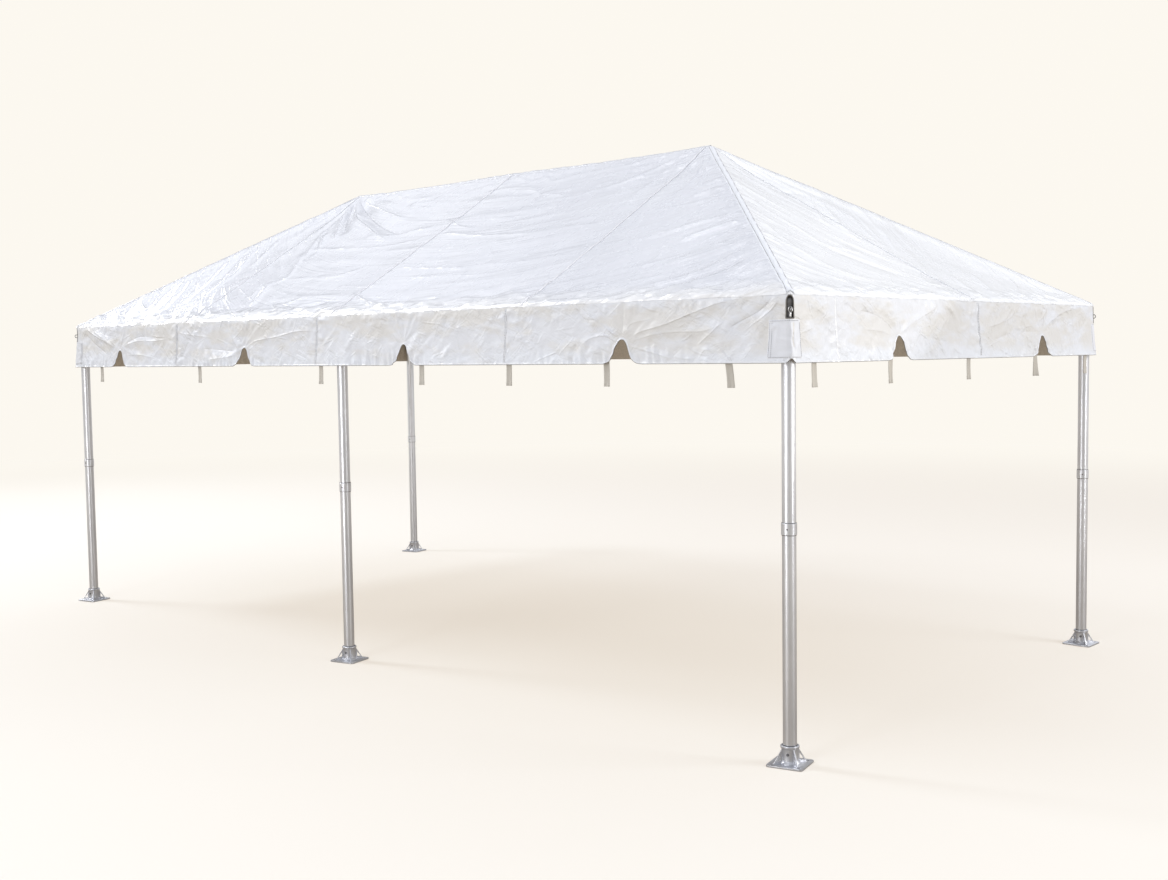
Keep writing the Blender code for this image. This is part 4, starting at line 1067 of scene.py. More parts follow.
corner_x, corner_y = GX.ravel()[roof_faces], GY.ravel()[roof_faces]
mid_x, mid_y = corner_x.mean(1), corner_y.mean(1)
face_side = np.stack([EAVE_Z + (mid_y + COVER_Y) * math.tan(SLOPE_F), EAVE_Z + (COVER_X - mid_x) * math.tan(SLOPE_R),
                      EAVE_Z + (COVER_Y - mid_y) * math.tan(SLOPE_F),
                      EAVE_Z + (mid_x + COVER_X) * math.tan(SLOPE_L)]).argmin(0)
mid_u, mid_v = slope_uv(face_side, mid_x, mid_y)
cu, cv = slope_uv(face_side[:, None], corner_x, corner_y)
tall = np.where(face_side == 1, top_r, top_l)
mirror = np.where(face_side >= 2, -1.0, 1.0)[:, None]
in_right = (mid_u * mirror[:, 0] > END_SEAM_R * (1 - mid_v / tall))[:, None]
long_a, long_b = long_stream(cu * mirror, cv)
end_a, end_b = end_stream(cu * mirror, cv, in_right)
is_long = (face_side % 2 == 0)[:, None]
shift = (face_side * 7.3)[:, None]
stream = np.stack([np.where(is_long, long_a, end_a) + shift, np.where(is_long, long_b, end_b) + shift], -1)
slot_of = (face_side % 2).astype(int)
roof_uv = np.stack([cu + shift * 3, cv], -1)

crease_fields = [np.zeros((NX * NY, 3)) for _ in CREASES]
for side, paths in enumerate((creases_front, creases_right, creases_back, creases_left)):
    mine = np.nonzero(which.ravel() == side)[0]
    there = np.stack([local_u.ravel()[mine], local_v.ravel()[mine]], -1)
    for field, part in zip(crease_fields, crease_layers(there, paths, len(CREASES))):
        field[mine] = part
roof_obj = build_mesh("cover_roof", roof.reshape(-1, 3), roof_faces, [LONG_SLOPE_SHADE_AND_EAVE_HIGHLIGHT, END_SLOPE_PAINTED_LIGHT], None, True, slot_of,
                      {"UVMap": roof_uv, "streams": stream}, dict(zip(CREASES, crease_fields)))


def roof_at(x, y):
    """Point and normal of the finished roof sheet over a plan point."""
    x, y = np.atleast_1d(x).astype(float), np.atleast_1d(y).astype(float)
    i = np.clip(np.searchsorted(grid_x, x) - 1, 0, NX - 2)
    j = np.clip(np.searchsorted(grid_y, y) - 1, 0, NY - 2)
    fx = np.clip((x - grid_x[i]) / (grid_x[i + 1] - grid_x[i]), 0, 1)[:, None]
    fy = np.clip((y - grid_y[j]) / (grid_y[j + 1] - grid_y[j]), 0, 1)[:, None]
    p00, p10, p01, p11 = roof[i, j], roof[i + 1, j], roof[i, j + 1], roof[i + 1, j + 1]
    point = (p00 * (1 - fx) + p10 * fx) * (1 - fy) + (p01 * (1 - fx) + p11 * fx) * fy
    normal = unit(np.cross(p10 - p00 + p11 - p01, p01 - p00 + p11 - p10))
    return point, normal


def ribbon_on_roof(name, path, width, height, material, lift=0.0, seed=0, two_planes=False):
    """A flat sewn band that lies on the roof along a plan path."""
    rng = np.random.default_rng(seed)
    path = np.asarray(path, float)
    along = unit(np.gradient(path, axis=0))
    side = np.stack([along[:, 1], -along[:, 0]], -1)
    profile = ((-1.0, -0.6), (-0.97, 0.55), (-0.86, 1.0), (-0.5, 0.92), (0.0, 1.0), (0.5, 0.92),
               (0.86, 1.0), (0.97, 0.55), (1.0, -0.6))
    length = np.concatenate([[0], np.cumsum(np.linalg.norm(np.diff(path, axis=0), axis=1))])
    wobble = 1 + 0.22 * smooth_wave(rng, length, 5, 0.03, 0.16)
    rows, uvs = [], []
    for across, up in profile:
        plan = path + side * across * width / 2
        point, normal = roof_at(plan[:, 0], plan[:, 1])
        rise = (lift + height * up) * (wobble if up > 0 else 1.0)
        rows.append(point + normal * np.reshape(rise * np.ones(len(path)), (-1, 1)))
        uvs.append(np.stack([length, np.full(len(path), across)], -1))
    verts = np.stack(rows, 1)
    uv = np.stack(uvs, 1)
    obj = build_mesh(name, verts.reshape(-1, 3), grid_faces(len(path), len(profile)), material,
                     uv.reshape(-1, 2))
    return obj


def plan_line(a, b, step=0.012):
    count = int(np.linalg.norm(np.subtract(b, a)) / step) + 2
    return np.linspace(a, b, count)


bands = []
for sx, peak in ((1, PEAK_R), (-1, PEAK_L)):
    for sy in (-1, 1):
        name = "hip_band_%s_%s" % ("front" if sy < 0 else "back", "right" if sx > 0 else "left")
        line = plan_line((peak + sx * 0.006, sy * 0.006), (sx * (COVER_X - 0.012), sy * (COVER_Y - 0.012)))
        bands.append(ribbon_on_roof(name, line, 0.036, 0.0034, BAND, 0.0006, 70 + sx + 3 * sy))
bands.append(ribbon_on_roof("ridge_band", plan_line((PEAK_L, 0.0), (PEAK_R, 0.0)), 0.034, 0.0028,
                            BAND, 0.0006, 81))
cosf = math.cos(SLOPE_F)
for side_name, seams, sign in (("front", FRONT_SEAMS, 1), ("back", BACK_SEAMS, -1)):
    for k, (low, high) in enumerate(seams):
        a2 = (sign * low[0], sign * (-COVER_Y + 0.004))
        b2 = (sign * high[0], sign * (-COVER_Y + (high[1] - 0.012) * cosf))
        bands.append(ribbon_on_roof("roof_seam_%s_%d" % (side_name, k + 1), plan_line(a2, b2), 0.012,
                                    0.0034, SEAM, 0.0004, 90 + k))
bands.append(ribbon_on_roof("roof_seam_right", plan_line((COVER_X - 0.004, END_SEAM_R), (PEAK_R + 0.02, 0.0)),
                            0.013, 0.0028, SEAM, 0.0004, 96))
bands.append(ribbon_on_roof("roof_seam_left", plan_line((-COVER_X + 0.004, -END_SEAM_L), (PEAK_L - 0.02, 0.0)),
                            0.013, 0.0028, SEAM, 0.0004, 97))


# ------------------------------------------------------------------ skirt
AROUND = 4 * (COVER_X + COVER_Y)
CORNER_R = 0.024
SIDES = (  # start s, length, start point, way, outward
    (0.0, 2 * COVER_X, (-COVER_X, -COVER_Y), (1, 0), (0, -1)),
    (2 * COVER_X, 2 * COVER_Y, (COVER_X, -COVER_Y), (0, 1), (1, 0)),
    (2 * COVER_X + 2 * COVER_Y, 2 * COVER_X, (COVER_X, COVER_Y), (-1, 0), (0, 1)),
    (4 * COVER_X + 2 * COVER_Y, 2 * COVER_Y, (-COVER_X, COVER_Y), (0, -1), (-1, 0)))
CORNERS = {"front_left": 0.0, "front_right": 2 * COVER_X, "back_right": 2 * COVER_X + 2 * COVER_Y,
           "back_left": 4 * COVER_X + 2 * COVER_Y}
SLOT_OFF = {"front_left": 0.003, "front_right": -0.003, "back_right": 0.003, "back_left": -0.003}


def side_s(side, a):
    """Place along the edge of x (front, back) or y (ends)."""
    start, _, origin, way, _ = SIDES[side]
    return start + (a - origin[0]) * way[0] if way[0] else start + (a - origin[1]) * way[1]


def around(s):
    """Plan point and outward normal of the eave line at s, corners rounded."""
    s = np.mod(np.asarray(s, float), AROUND)
    point, normal = np.zeros(s.shape + (2,)), np.zeros(s.shape + (2,))
    for start, length, origin, way, out in SIDES:
        inside = (s >= start) & (s < start + length)
        t = s[inside] - start
        way, out = np.array(way, float), np.array(out, float)
        p = np.array(origin) + t[:, None] * way
        n = np.repeat(out[None], len(t), 0)
        for near, sign in ((t, -1.0), (length - t, 1.0)):
            turn = near < CORNER_R
            phi = (1 - near[turn] / CORNER_R) * math.pi / 4
            end = np.array(origin) + (0 if sign < 0 else length) * way
            centre = end - sign * CORNER_R * way - CORNER_R * out
            direction = np.sin(phi)[:, None] * way * sign + np.cos(phi)[:, None] * out
            p[turn] = centre + CORNER_R * direction
            n[turn] = direction
        point[inside], normal[inside] = p, n
    return point, normal


def ring_distance(s, where):
    return (s - where + AROUND / 2) % AROUND - AROUND / 2


# the hem outline: bell notches, and a small V at each corner
BELL = np.array(((-0.122, 0.0), (-0.101, 0.0018), (-0.083, 0.0075), (-0.067, 0.020), (-0.054, 0.039),
                 (-0.041, 0.063), (-0.0315, 0.083), (-0.0215, 0.099), (-0.0110, 0.1090), (0.0, 0.112)))
BELL = np.concatenate([BELL, (BELL[:-1] * (-1, 1))[::-1]])
VEE = np.array(((-0.013, 0.0), (-0.007, 0.010), (0.0, 0.019), (0.007, 0.010), (0.013, 0.0)))


notch_s = ([side_s(0, x) for x in FRONT_NOTCHES] + [side_s(1, y) for y in RIGHT_NOTCHES]
           + [side_s(2, x) for x in FRONT_NOTCHES] + [side_s(3, y) for y in RIGHT_NOTCHES])
shape_rng = np.random.default_rng(71)
hem_path, taken = [], []
for centre in notch_s:
    outline = spline(BELL) * (shape_rng.uniform(0.95, 1.04), 1.0) + (centre, 0.0)
    taken.append((outline[0, 0], outline[-1, 0], outline))
for name, centre in CORNERS.items():
    outline = spline(VEE, 5) + (centre if centre > 0 else AROUND, 0.0)
    if centre == 0.0:
        first, second = outline[:11] - (AROUND, 0.0), outline
        taken.append((outline[0, 0], AROUND, outline[:11]))
        taken.append((0.0, outline[-1, 0] - AROUND, outline[10:] - (AROUND, 0.0)))
    else:
        taken.append((outline[0, 0], outline[-1, 0], outline))
taken.sort(key=lambda item: item[0])
for k, (low, high, outline) in enumerate(taken):
    if k:
        before = taken[k - 1][1]
        count = max(2, int((low - before) / 0.006))
        s = np.linspace(before, low, count + 1)[1:-1]
        hem_path.append(np.stack([s, np.zeros_like(s)], -1))
    hem_path.append(outline)
hem_path = np.concatenate(hem_path)
hem_path = hem_path[np.concatenate([[True], np.diff(hem_path[:, 0]) > 1e-7])]


def hem_z(s):
    return VAL_HEM + np.interp(np.mod(s, AROUND), hem_path[:, 0], hem_path[:, 1])


# folds of the skirt
skirt_rng = np.random.default_rng(101)
skirt_field = Raster(-0.05, AROUND + 0.05, VAL_HEM - 0.03, 2.02, 0.005)
su, sv = skirt_field.axes()
depth = np.clip((VAL_TOP - sv) / (VAL_TOP - VAL_HEM), 0, 1)
for waves, low, high, size, power in ((7, 0.45, 1.5, 0.0055, 1.3), (9, 0.16, 0.42, 0.0024, 1.4)):
    total = np.zeros_like(su)
    for _ in range(waves):
        turns = max(1, round(AROUND / skirt_rng.uniform(low, high)))
        slant = skirt_rng.uniform(-0.5, 0.5)
        total += np.sin(math.tau * turns * (su + slant * (sv - 1.85)) / AROUND
                        + skirt_rng.uniform(0, math.tau))
    skirt_field.h += size * total / math.sqrt(waves) * depth ** power
flutter = np.zeros_like(su)
for _ in range(8):
    turns = round(AROUND / skirt_rng.uniform(0.035, 0.11))
    flutter += np.sin(math.tau * turns * (su + skirt_rng.uniform(-0.4, 0.4) * (sv - VAL_HEM)) / AROUND
                      + skirt_rng.uniform(0, math.tau))
patchy = 0.5 + 0.5 * np.sin(math.tau * 11 * su / AROUND + 1.0)
skirt_field.h += 0.0016 * flutter * np.exp(-((sv - VAL_HEM) / 0.075) ** 2) * patchy

skirt_seams = []
for turn in (0, 1):
    skirt_seams += [side_s(0 + 2 * turn, x * (1 - 2 * turn)) for x in (1.40, -0.17, -1.70)]
    skirt_seams += [side_s(1 + 2 * turn, y * (1 - 2 * turn)) for y in (0.09, -1.23)]
for centre in notch_s:
    tip = (centre, VAL_HEM + 0.122)
    folds = []
    for base in (24, 42, 68, 96, 122, 146, 160, 196, 342):
        folds.append((base + skirt_rng.normal(0, 5), skirt_rng.uniform(4.5, 9.0),
                      skirt_rng.choice((-1, 1, 1)) * skirt_rng.uniform(2.0, 4.6) * 1e-3,
                      skirt_rng.uniform(0.16, 0.42)))
    window = slice(max(0, int((centre - 1.2 - skirt_field.u0) / 0.005)),
                   int((centre + 1.2 - skirt_field.u0) / 0.005))
    du, dv = su[window] - tip[0], sv[window] - tip[1]
    r = np.hypot(du, dv)
    theta = np.degrees(np.arctan2(dv, du))
    for angle, spread, size, reach in folds:
        off = (theta - angle + 180) % 360 - 180
        skirt_field.h[window] += size * np.exp(-(off / spread) ** 2) * (r / (r + 0.05)) * np.exp(-(r / reach) ** 2)
    # the lips of a notch curl a little
    wall = np.exp(-((np.abs(du) - 0.035) / 0.020) ** 2) * np.clip((VAL_HEM + 0.11 - sv[window]) / 0.10, 0, 1)
    skirt_field.h[window] += 0.004 * wall * np.where(du > 0, 1.0, -0.6)
for _ in range(1500):
    s, z = skirt_rng.uniform(0, AROUND), skirt_rng.uniform(VAL_HEM, VAL_TOP)
    lean = skirt_rng.choice((-1, 1)) * math.radians(skirt_rng.uniform(10, 60))
    skirt_field.stroke(s, z, lean, skirt_rng.uniform(0.06, 0.32), skirt_rng.uniform(0.009, 0.022),
                       skirt_rng.uniform(0.6, 2.4) * 1e-3, skirt_rng.normal(0, 0.2),
                       int(skirt_rng.integers(2)))
for _ in range(700):
    s = skirt_rng.uniform(0, AROUND)
    length = skirt_rng.uniform(0.03, 0.09)
    skirt_field.stroke(s, VAL_TOP - length * 0.55, skirt_rng.normal(1.57, 0.35), length,
                       skirt_rng.uniform(0.009, 0.014), skirt_rng.uniform(0.8, 2.6) * 1e-3,
                       0.0, int(skirt_rng.integers(2)))
for s in skirt_seams:
    for _ in range(26):
        z = skirt_rng.uniform(VAL_HEM + 0.01, VAL_TOP - 0.02)
        length = skirt_rng.uniform(0.04, 0.13)
        skirt_field.stroke(s + skirt_rng.choice((-1, 1)) * length * 0.42, z, skirt_rng.normal(0, 0.35),
                           length, skirt_rng.uniform(0.008, 0.013), skirt_rng.uniform(1.2, 3.2) * 1e-3,
                           0.0, 0)
# the folds that show one by one, mirrored to the far sides
skirt_creases = []
for side, folds, lift in ((0, FOLDS_SKIRT_FRONT, 1.0), (1, FOLDS_SKIRT_END, 1.1), (2, FOLDS_SKIRT_FRONT, 1.0),
                          (3, FOLDS_SKIRT_END, 1.1)):
    for high, wide, points in folds:
        line = [(float(side_s(side, a)), z) for a, z in points]
        skirt_field.path(line, 0.8 * wide / 1000.0, lift * high / 1000.0, 1.2)
        skirt_creases.append((high * 0.00036, line))
# curls above the hem and creases in every direction
for _ in range(420):
    s, z = skirt_rng.uniform(0, AROUND), VAL_HEM + abs(skirt_rng.normal(0.012, 0.030))
    skirt_field.stroke(s, z, skirt_rng.normal(1.2, 0.6) * skirt_rng.choice((-1, 1)), skirt_rng.uniform(0.04, 0.11),
                       skirt_rng.uniform(0.008, 0.014), skirt_rng.uniform(1.0, 3.0) * 1e-3,
                       skirt_rng.normal(0, 0.5), int(skirt_rng.integers(2)))
for _ in range(300):
    s, z = skirt_rng.uniform(0.05, AROUND - 0.05), skirt_rng.uniform(VAL_HEM + 0.02, VAL_TOP - 0.015)
    lean, length = skirt_rng.choice((-1, 1)) * math.radians(skirt_rng.uniform(5, 70)), skirt_rng.uniform(0.04, 0.22)
    ds, dz = math.cos(lean) * length / 2, math.sin(lean) * length / 2
    skirt_creases.append((skirt_rng.uniform(0.0005, 0.0017), [(s - ds, z - dz), (s, z + skirt_rng.normal(0, 0.005)),
                                                             (s + ds, z + dz)]))
# a broad pull from each eave corner towards the first notch
for name, centre in CORNERS.items():
    for sign in (-1, 1):
        for place in (centre, centre + AROUND, centre - AROUND):
            skirt_field.stroke(place + sign * 0.26, 1.905, -sign * math.radians(24), 0.50, 0.032,
                               0.0042, 0.05 * sign)
            skirt_field.stroke(place + sign * 0.22, 1.850, -sign * math.radians(38), 0.42, 0.024,
                               -0.0030, 0.03 * sign)
            skirt_field.stroke(place + sign * 0.14, 1.850, -sign * math.radians(62), 0.24, 0.020,
                               0.0028, 0.0)


def skirt_offset(s, z):
    """How far the skirt stands out from the eave line."""
    t = np.clip((VAL_TOP - z) / (VAL_TOP - VAL_HEM), 0, 1.2)
    out = VAL_SPLAY * (0.25 * t + 0.75 * t * t) - 0.0035 * np.clip((z - 1.9865) / 0.0095, 0, 1)
    h = np.clip(skirt_field.sample(np.mod(s, AROUND), z), -0.014, 0.014)
    from_corner = np.full(np.shape(s), 9.0)
    for centre in CORNERS.values():
        from_corner = np.minimum(from_corner, np.abs(ring_distance(s, centre)))
    quiet = np.clip(from_corner / 0.13, 0, 1)
    quiet = 0.10 + 0.90 * quiet * quiet * (3 - 2 * quiet)
    return out + h * quiet * np.clip((1.990 - z) / 0.018, 0, 1)


def skirt_point(s, z, extra=0.0):
    point, normal = around(s)
    out = skirt_offset(s, z) + extra
    return np.concatenate([point + normal * np.reshape(out, np.shape(out) + (1,)),
                           np.reshape(z, np.shape(z) + (1,))], -1)


SLOT_HALF, SLOT_TOP, SLOT_ARCH = 0.0195, 1.9885, 0.026


def slot_half(z):
    """Half width of the corner slot: straight, with a round head."""
    rise = np.clip((z - (SLOT_TOP - SLOT_ARCH)) / SLOT_ARCH, 0, 1)
    return SLOT_HALF * np.sqrt(1 - rise ** 2)


columns = []
for k, (low, high, outline) in enumerate(taken):
    if k:
        before = taken[k - 1][1]
        count = max(2, int(round((low - before) / 0.0085)))
        columns.append(np.linspace(before, low, count + 1)[1:-1])
    inner = outline[:, 0]
    if high - low > 0.1:
        inner = np.interp(np.linspace(0, 1, 74), np.linspace(0, 1, len(inner)), inner)
    columns.append(inner)
columns = np.unique(np.round(np.concatenate(columns), 6))
for name, centre in CORNERS.items():
    middle = centre + SLOT_OFF[name]
    keep = np.abs(ring_distance(columns, middle)) > SLOT_HALF + 0.034
    extra = middle + np.concatenate([np.linspace(-0.0575, -SLOT_HALF, 7), np.linspace(-SLOT_HALF, SLOT_HALF, 13)[1:-1],
                                     np.linspace(SLOT_HALF, 0.0575, 7)])
    columns = np.concatenate([columns[keep], np.mod(extra, AROUND)])
columns = np.sort(columns[columns < AROUND - 1e-6])
rows_top = np.array((1.9965, 1.9935, 1.9905, 1.9880, 1.9850, 1.9810, 1.9760, 1.9700, 1.9620, 1.9530,
                     1.9440, 1.9340, 1.9240, 1.9140, 1.9035, SLIT_LOW))
low_rows = 19
CS = np.repeat(columns[:, None], len(rows_top) + low_rows, 1)
bottom = hem_z(columns)
share = np.linspace(0, 1, low_rows + 1)[1:]
CZ = np.concatenate([np.repeat(rows_top[None], len(columns), 0),
                     SLIT_LOW + (bottom - SLIT_LOW)[:, None] * share[None]], 1)
for name, centre in CORNERS.items():
    middle = centre + SLOT_OFF[name]
    d = ring_distance(CS, middle)
    pull = (SLOT_HALF - slot_half(CZ)) * np.clip(1 - (np.abs(d) - SLOT_HALF) / 0.034, 0, 1)
    pull = np.where(CZ > SLIT_LOW + 1e-4, pull, 0) * (np.abs(d) >= SLOT_HALF - 1e-5)
    CS = CS - np.sign(d) * pull
skirt = skirt_point(CS.ravel(), CZ.ravel()).reshape(CS.shape + (3,))
ncol, nrow = CS.shape
faces = grid_faces(ncol, nrow, wrap=True)[:, ::-1]
cell_s = np.repeat(((columns + np.append(columns[1:], columns[0] + AROUND)) / 2)[:, None], nrow - 1, 1).ravel()
cell_r = np.tile(np.arange(nrow - 1), ncol)
keep = np.ones(len(faces), bool)
for name, centre in CORNERS.items():
    inside = np.abs(ring_distance(cell_s, centre + SLOT_OFF[name])) < SLOT_HALF
    keep &= ~(inside & (cell_r < len(rows_top) - 1) & (cell_r >= 3))
    keep &= ~(inside & (cell_r < 3))
skirt_uv = np.stack([CS, CZ], -1).reshape(-1, 2)
used = np.unique(faces[keep])
renumber = np.full(ncol * nrow, -1)
renumber[used] = np.arange(len(used))
skirt_fields = crease_layers(skirt_uv[used], skirt_creases, 3, 0.0044, 0.022, 0.018)
skirt_obj = build_mesh("cover_valance", skirt.reshape(-1, 3)[used], renumber[faces[keep]], VALANCE_PAINTED_HEM_REFLECTION,
                       skirt_uv[used], fields=dict(zip(CREASES, skirt_fields)))

# a taupe sheet 2 mm inside the valance: painted shade of the cover's inside
shade_lining = skirt_point(CS.ravel(), CZ.ravel(), -0.0020)
shade_lining_obj = build_mesh("valance_inner_painted_shade", shade_lining[used], renumber[faces[keep]][:, ::-1], PAINTED_INNER_SHADE, skirt_uv[used])

# hem binding: a folded strip whose lower edge is painted dark, painted shade along the hem
way = unit(np.gradient(hem_path, axis=0))
up = np.stack([-way[:, 1], way[:, 0]], -1)
WIDTH = 0.0095
rows, across_v = [], []
for inset, out in ((1.0, 0.0003), (0.93, 0.0012), (0.5, 0.0014), (0.16, 0.0014), (0.0, 0.0011), (-0.07, 0.0),
                   (0.0, -0.0011), (0.16, -0.0014), (0.93, -0.0012), (1.0, -0.0003)):
    place = hem_path + up * inset * WIDTH
    rows.append(skirt_point(place[:, 0], VAL_HEM + place[:, 1], out))
    across_v.append(np.full(len(place), inset * 2 - 1))
rows, across_v = np.stack(rows, 1), np.stack(across_v, 1)
length = np.concatenate([[0], np.cumsum(np.linalg.norm(np.diff(hem_path, axis=0), axis=1))])
uv = np.stack([np.repeat(length[:, None], rows.shape[1], 1), across_v], -1)
strip = grid_faces(len(hem_path), rows.shape[1], wrap=True)
slots = np.tile((0, 0, 0, 1, 1, 1, 1, 0, 0), len(hem_path))
hem_obj = build_mesh("hem_binding", rows.reshape(-1, 3), strip, [HEM, SHADE_CORD], uv.reshape(-1, 2), True, slots)

# corner patches, slot rims, stitching and seams of the skirt
stitch_parts, rim_parts, seam_objs, patch_objs = [], [], [], []


def stitch_line(points, normals, pitch=0.0080, dash=0.0058, thick=0.0009):
    """Thread dashes along a 3D line."""
    points, normals = np.asarray(points, float), np.asarray(normals, float)
    run = np.concatenate([[0], np.cumsum(np.linalg.norm(np.diff(points, axis=0), axis=1))])
    starts = np.arange(pitch * 0.3, run[-1] - dash, pitch)
    for s in starts:
        t = np.array((s, s + dash * 0.2, s + dash * 0.8, s + dash))
        p = np.stack([np.interp(t, run, points[:, k]) for k in range(3)], -1)
        n = unit(np.stack([np.interp(t, run, normals[:, k]) for k in range(3)], -1))
        side = unit(np.cross(p[-1] - p[0], n[1]))
        lift = np.array((-0.3, 1.0, 1.0, -0.3))[:, None] * thick
        centre = p + n * lift
        ring = [centre + side * thick * 0.9 - n * thick * 0.4, centre + n * thick * 0.7,
                centre - side * thick * 0.9 - n * thick * 0.4]
        v = np.stack(ring, 1).reshape(-1, 3)
        f = []
        for a in range(3):
            for b in range(3):
                c = (b + 1) % 3
                f += [(a * 3 + b, a * 3 + 3 + b, a * 3 + 3 + c), (a * 3 + b, a * 3 + 3 + c, a * 3 + c)]
        f += [(0, 1, 2), (9, 11, 10)]
        stitch_parts.append((v, f))


def skirt_normal(s, z):
    a = skirt_point(s + 0.004, z) - skirt_point(s - 0.004, z)
    b = skirt_point(s, z + 0.004) - skirt_point(s, z - 0.004)
    return unit(np.cross(a, b))


for name, centre in CORNERS.items():
    front_side = -1 if name in ("front_right", "back_left") else 1
    long_end, short_end = centre + front_side * 0.106, centre - front_side * 0.060
    s_low, s_high = min(long_end, short_end), max(long_end, short_end)
    z_low, z_high = 1.726, 1.889
    ps = np.linspace(s_low, s_high, 46)
    pz = np.linspace(z_low, z_high, 40)
    PS, PZ = np.meshgrid(ps, pz, indexing="ij")
    rng = np.random.default_rng(200 + len(name) * 7 + int(centre * 10))
    edge = np.minimum(np.minimum(PS - s_low, s_high - PS), np.minimum(PZ - z_low, z_high - PZ))
    puff = np.zeros_like(PS)
    for _ in range(34):
        u, v = rng.uniform(s_low, s_high), rng.uniform(z_low, z_high)
        a = rng.uniform(0, math.pi)
        w, l = rng.uniform(0.006, 0.012), rng.uniform(0.03, 0.10)
        x = ((PS - u) * math.cos(a) + (PZ - v) * math.sin(a)) / (l / 2)
        y = (-(PS - u) * math.sin(a) + (PZ - v) * math.cos(a)) / w
        puff += rng.uniform(-1.3, 2.4) * 1e-3 * np.exp(-x * x - y * y)
    puff += 0.0030 * np.exp(-((PS - centre - 0.002 * np.sin(PZ * 90.0)) / 0.004) ** 2)
    puff -= 0.0022 * np.exp(-((PS - centre + front_side * 0.011 + 0.003 * np.sin(PZ * 60.0)) / 0.006) ** 2)
    lift = 0.0016 + puff * np.clip(edge / 0.02, 0, 1)
    lift = np.where(edge < 1e-6, -0.0004, lift)
    patch = skirt_point(PS.ravel(), PZ.ravel(), lift.ravel())
    obj = build_mesh("corner_patch_" + name, patch, grid_faces(46, 40)[:, ::-1], PATCH,
                     np.stack([PS, PZ], -1).reshape(-1, 2))
    patch_objs.append(obj)

    def row(points):
        points = np.asarray(points, float)
        run = np.concatenate([[0], np.cumsum(np.linalg.norm(np.diff(points, axis=0), axis=1))])
        t = np.arange(0, run[-1], 0.004)
        s, z = np.interp(t, run, points[:, 0]), np.interp(t, run, points[:, 1])
        stitch_line(skirt_point(s, z, 0.0019), skirt_normal(s, z))

    inset = 0.006
    row(((s_low + inset, z_low + inset), (s_high - inset, z_low + inset)))
    row(((s_low + inset, z_high - inset), (s_high - inset, z_high - inset)))
    row(((s_low + inset, z_low + inset), (s_low + inset, z_high - inset)))
    row(((s_high - inset, z_low + inset), (s_high - inset, z_high - inset)))
    wide = long_end - front_side * 0.018
    row(((wide, z_low + inset), (wide, z_high - inset)))

    # rim of the slot: a dark cord, painted shade along the slot's edge
    middle = centre + SLOT_OFF[name]
    zs = np.concatenate([np.linspace(SLIT_LOW, SLOT_TOP - SLOT_ARCH, 12),
                         SLOT_TOP - SLOT_ARCH + SLOT_ARCH * np.sin(np.linspace(0, math.pi / 2, 11))[1:]])
    right = np.stack([middle + slot_half(zs), zs], -1)
    left = np.stack([middle - slot_half(zs), zs], -1)[::-1]
    floor_line = np.stack([np.linspace(middle - SLOT_HALF, middle + SLOT_HALF, 14)[1:-1],
                           np.full(12, SLIT_LOW)], -1)
    loop = np.concatenate([right, left[1:], floor_line])
    flat_loop = np.vstack([loop, loop[:1]])
    ring = []
    centre_line = skirt_point(flat_loop[:, 0], flat_loop[:, 1], 0.0006)
    v, f = tube_along(centre_line, 0.0023, 8, caps=False)
    rim_parts.append((v, f))

rim_obj = build_mesh("slot_rims", *join_parts(rim_parts), SHADE_CORD)

# a steel ring on a short tail hangs in each slot
hang_parts = []
turn = np.linspace(0, math.tau, 25)
for name, centre in CORNERS.items():
    middle = centre + SLOT_OFF[name] + 0.004
    at = skirt_point(np.array([middle]), np.array([1.9300]), -0.0050)[0]
    flat = skirt_point(np.array([middle + 0.01]), np.array([1.93]))[0] - skirt_point(np.array([middle - 0.01]),
                                                                                     np.array([1.93]))[0]
    flat = unit(flat)
    hang_parts.append(tube_along(at + 0.0085 * (np.cos(turn)[:, None] * flat + np.sin(turn)[:, None] * (0, 0, 1.25)),
                                 0.0021, 8, caps=False))
    for off in (-0.0026, 0.0, 0.0026):
        hang_parts.append(tube_along(np.array([at + flat * off + (0, 0, z) for z in (-0.007, -0.016, -0.026, -0.038)]),
                                     0.0017, 6))
hang_obj = build_mesh("slot_pull_rings", *join_parts(hang_parts), STEEL)

for k, s in enumerate(skirt_seams):
    z = np.linspace(VAL_HEM + 0.014, 1.984, 60)
    wob = 0.0015 * smooth_wave(np.random.default_rng(300 + k), z, 4, 0.03, 0.12)
    cols = []
    for across, out in ((-1, -0.0002), (-0.85, 0.0011), (0, 0.0016), (0.85, 0.0011), (1, -0.0002)):
        cols.append(skirt_point(s + wob + across * 0.0085, z, out))
    strip = np.stack(cols, 1)
    uv = np.stack([np.repeat(z[:, None], 5, 1), np.repeat(np.linspace(-1, 1, 5)[None], 60, 0)], -1)
    seam_objs.append(build_mesh("valance_seam_%02d" % (k + 1), strip.reshape(-1, 3),
                                grid_faces(60, 5)[:, ::-1], HEM, uv.reshape(-1, 2)))
    for off in (-0.0045, 0.0045):
        if k % 5 != 4:
            stitch_line(skirt_point(s + wob + off, z, 0.0016), skirt_normal(s + wob, z))

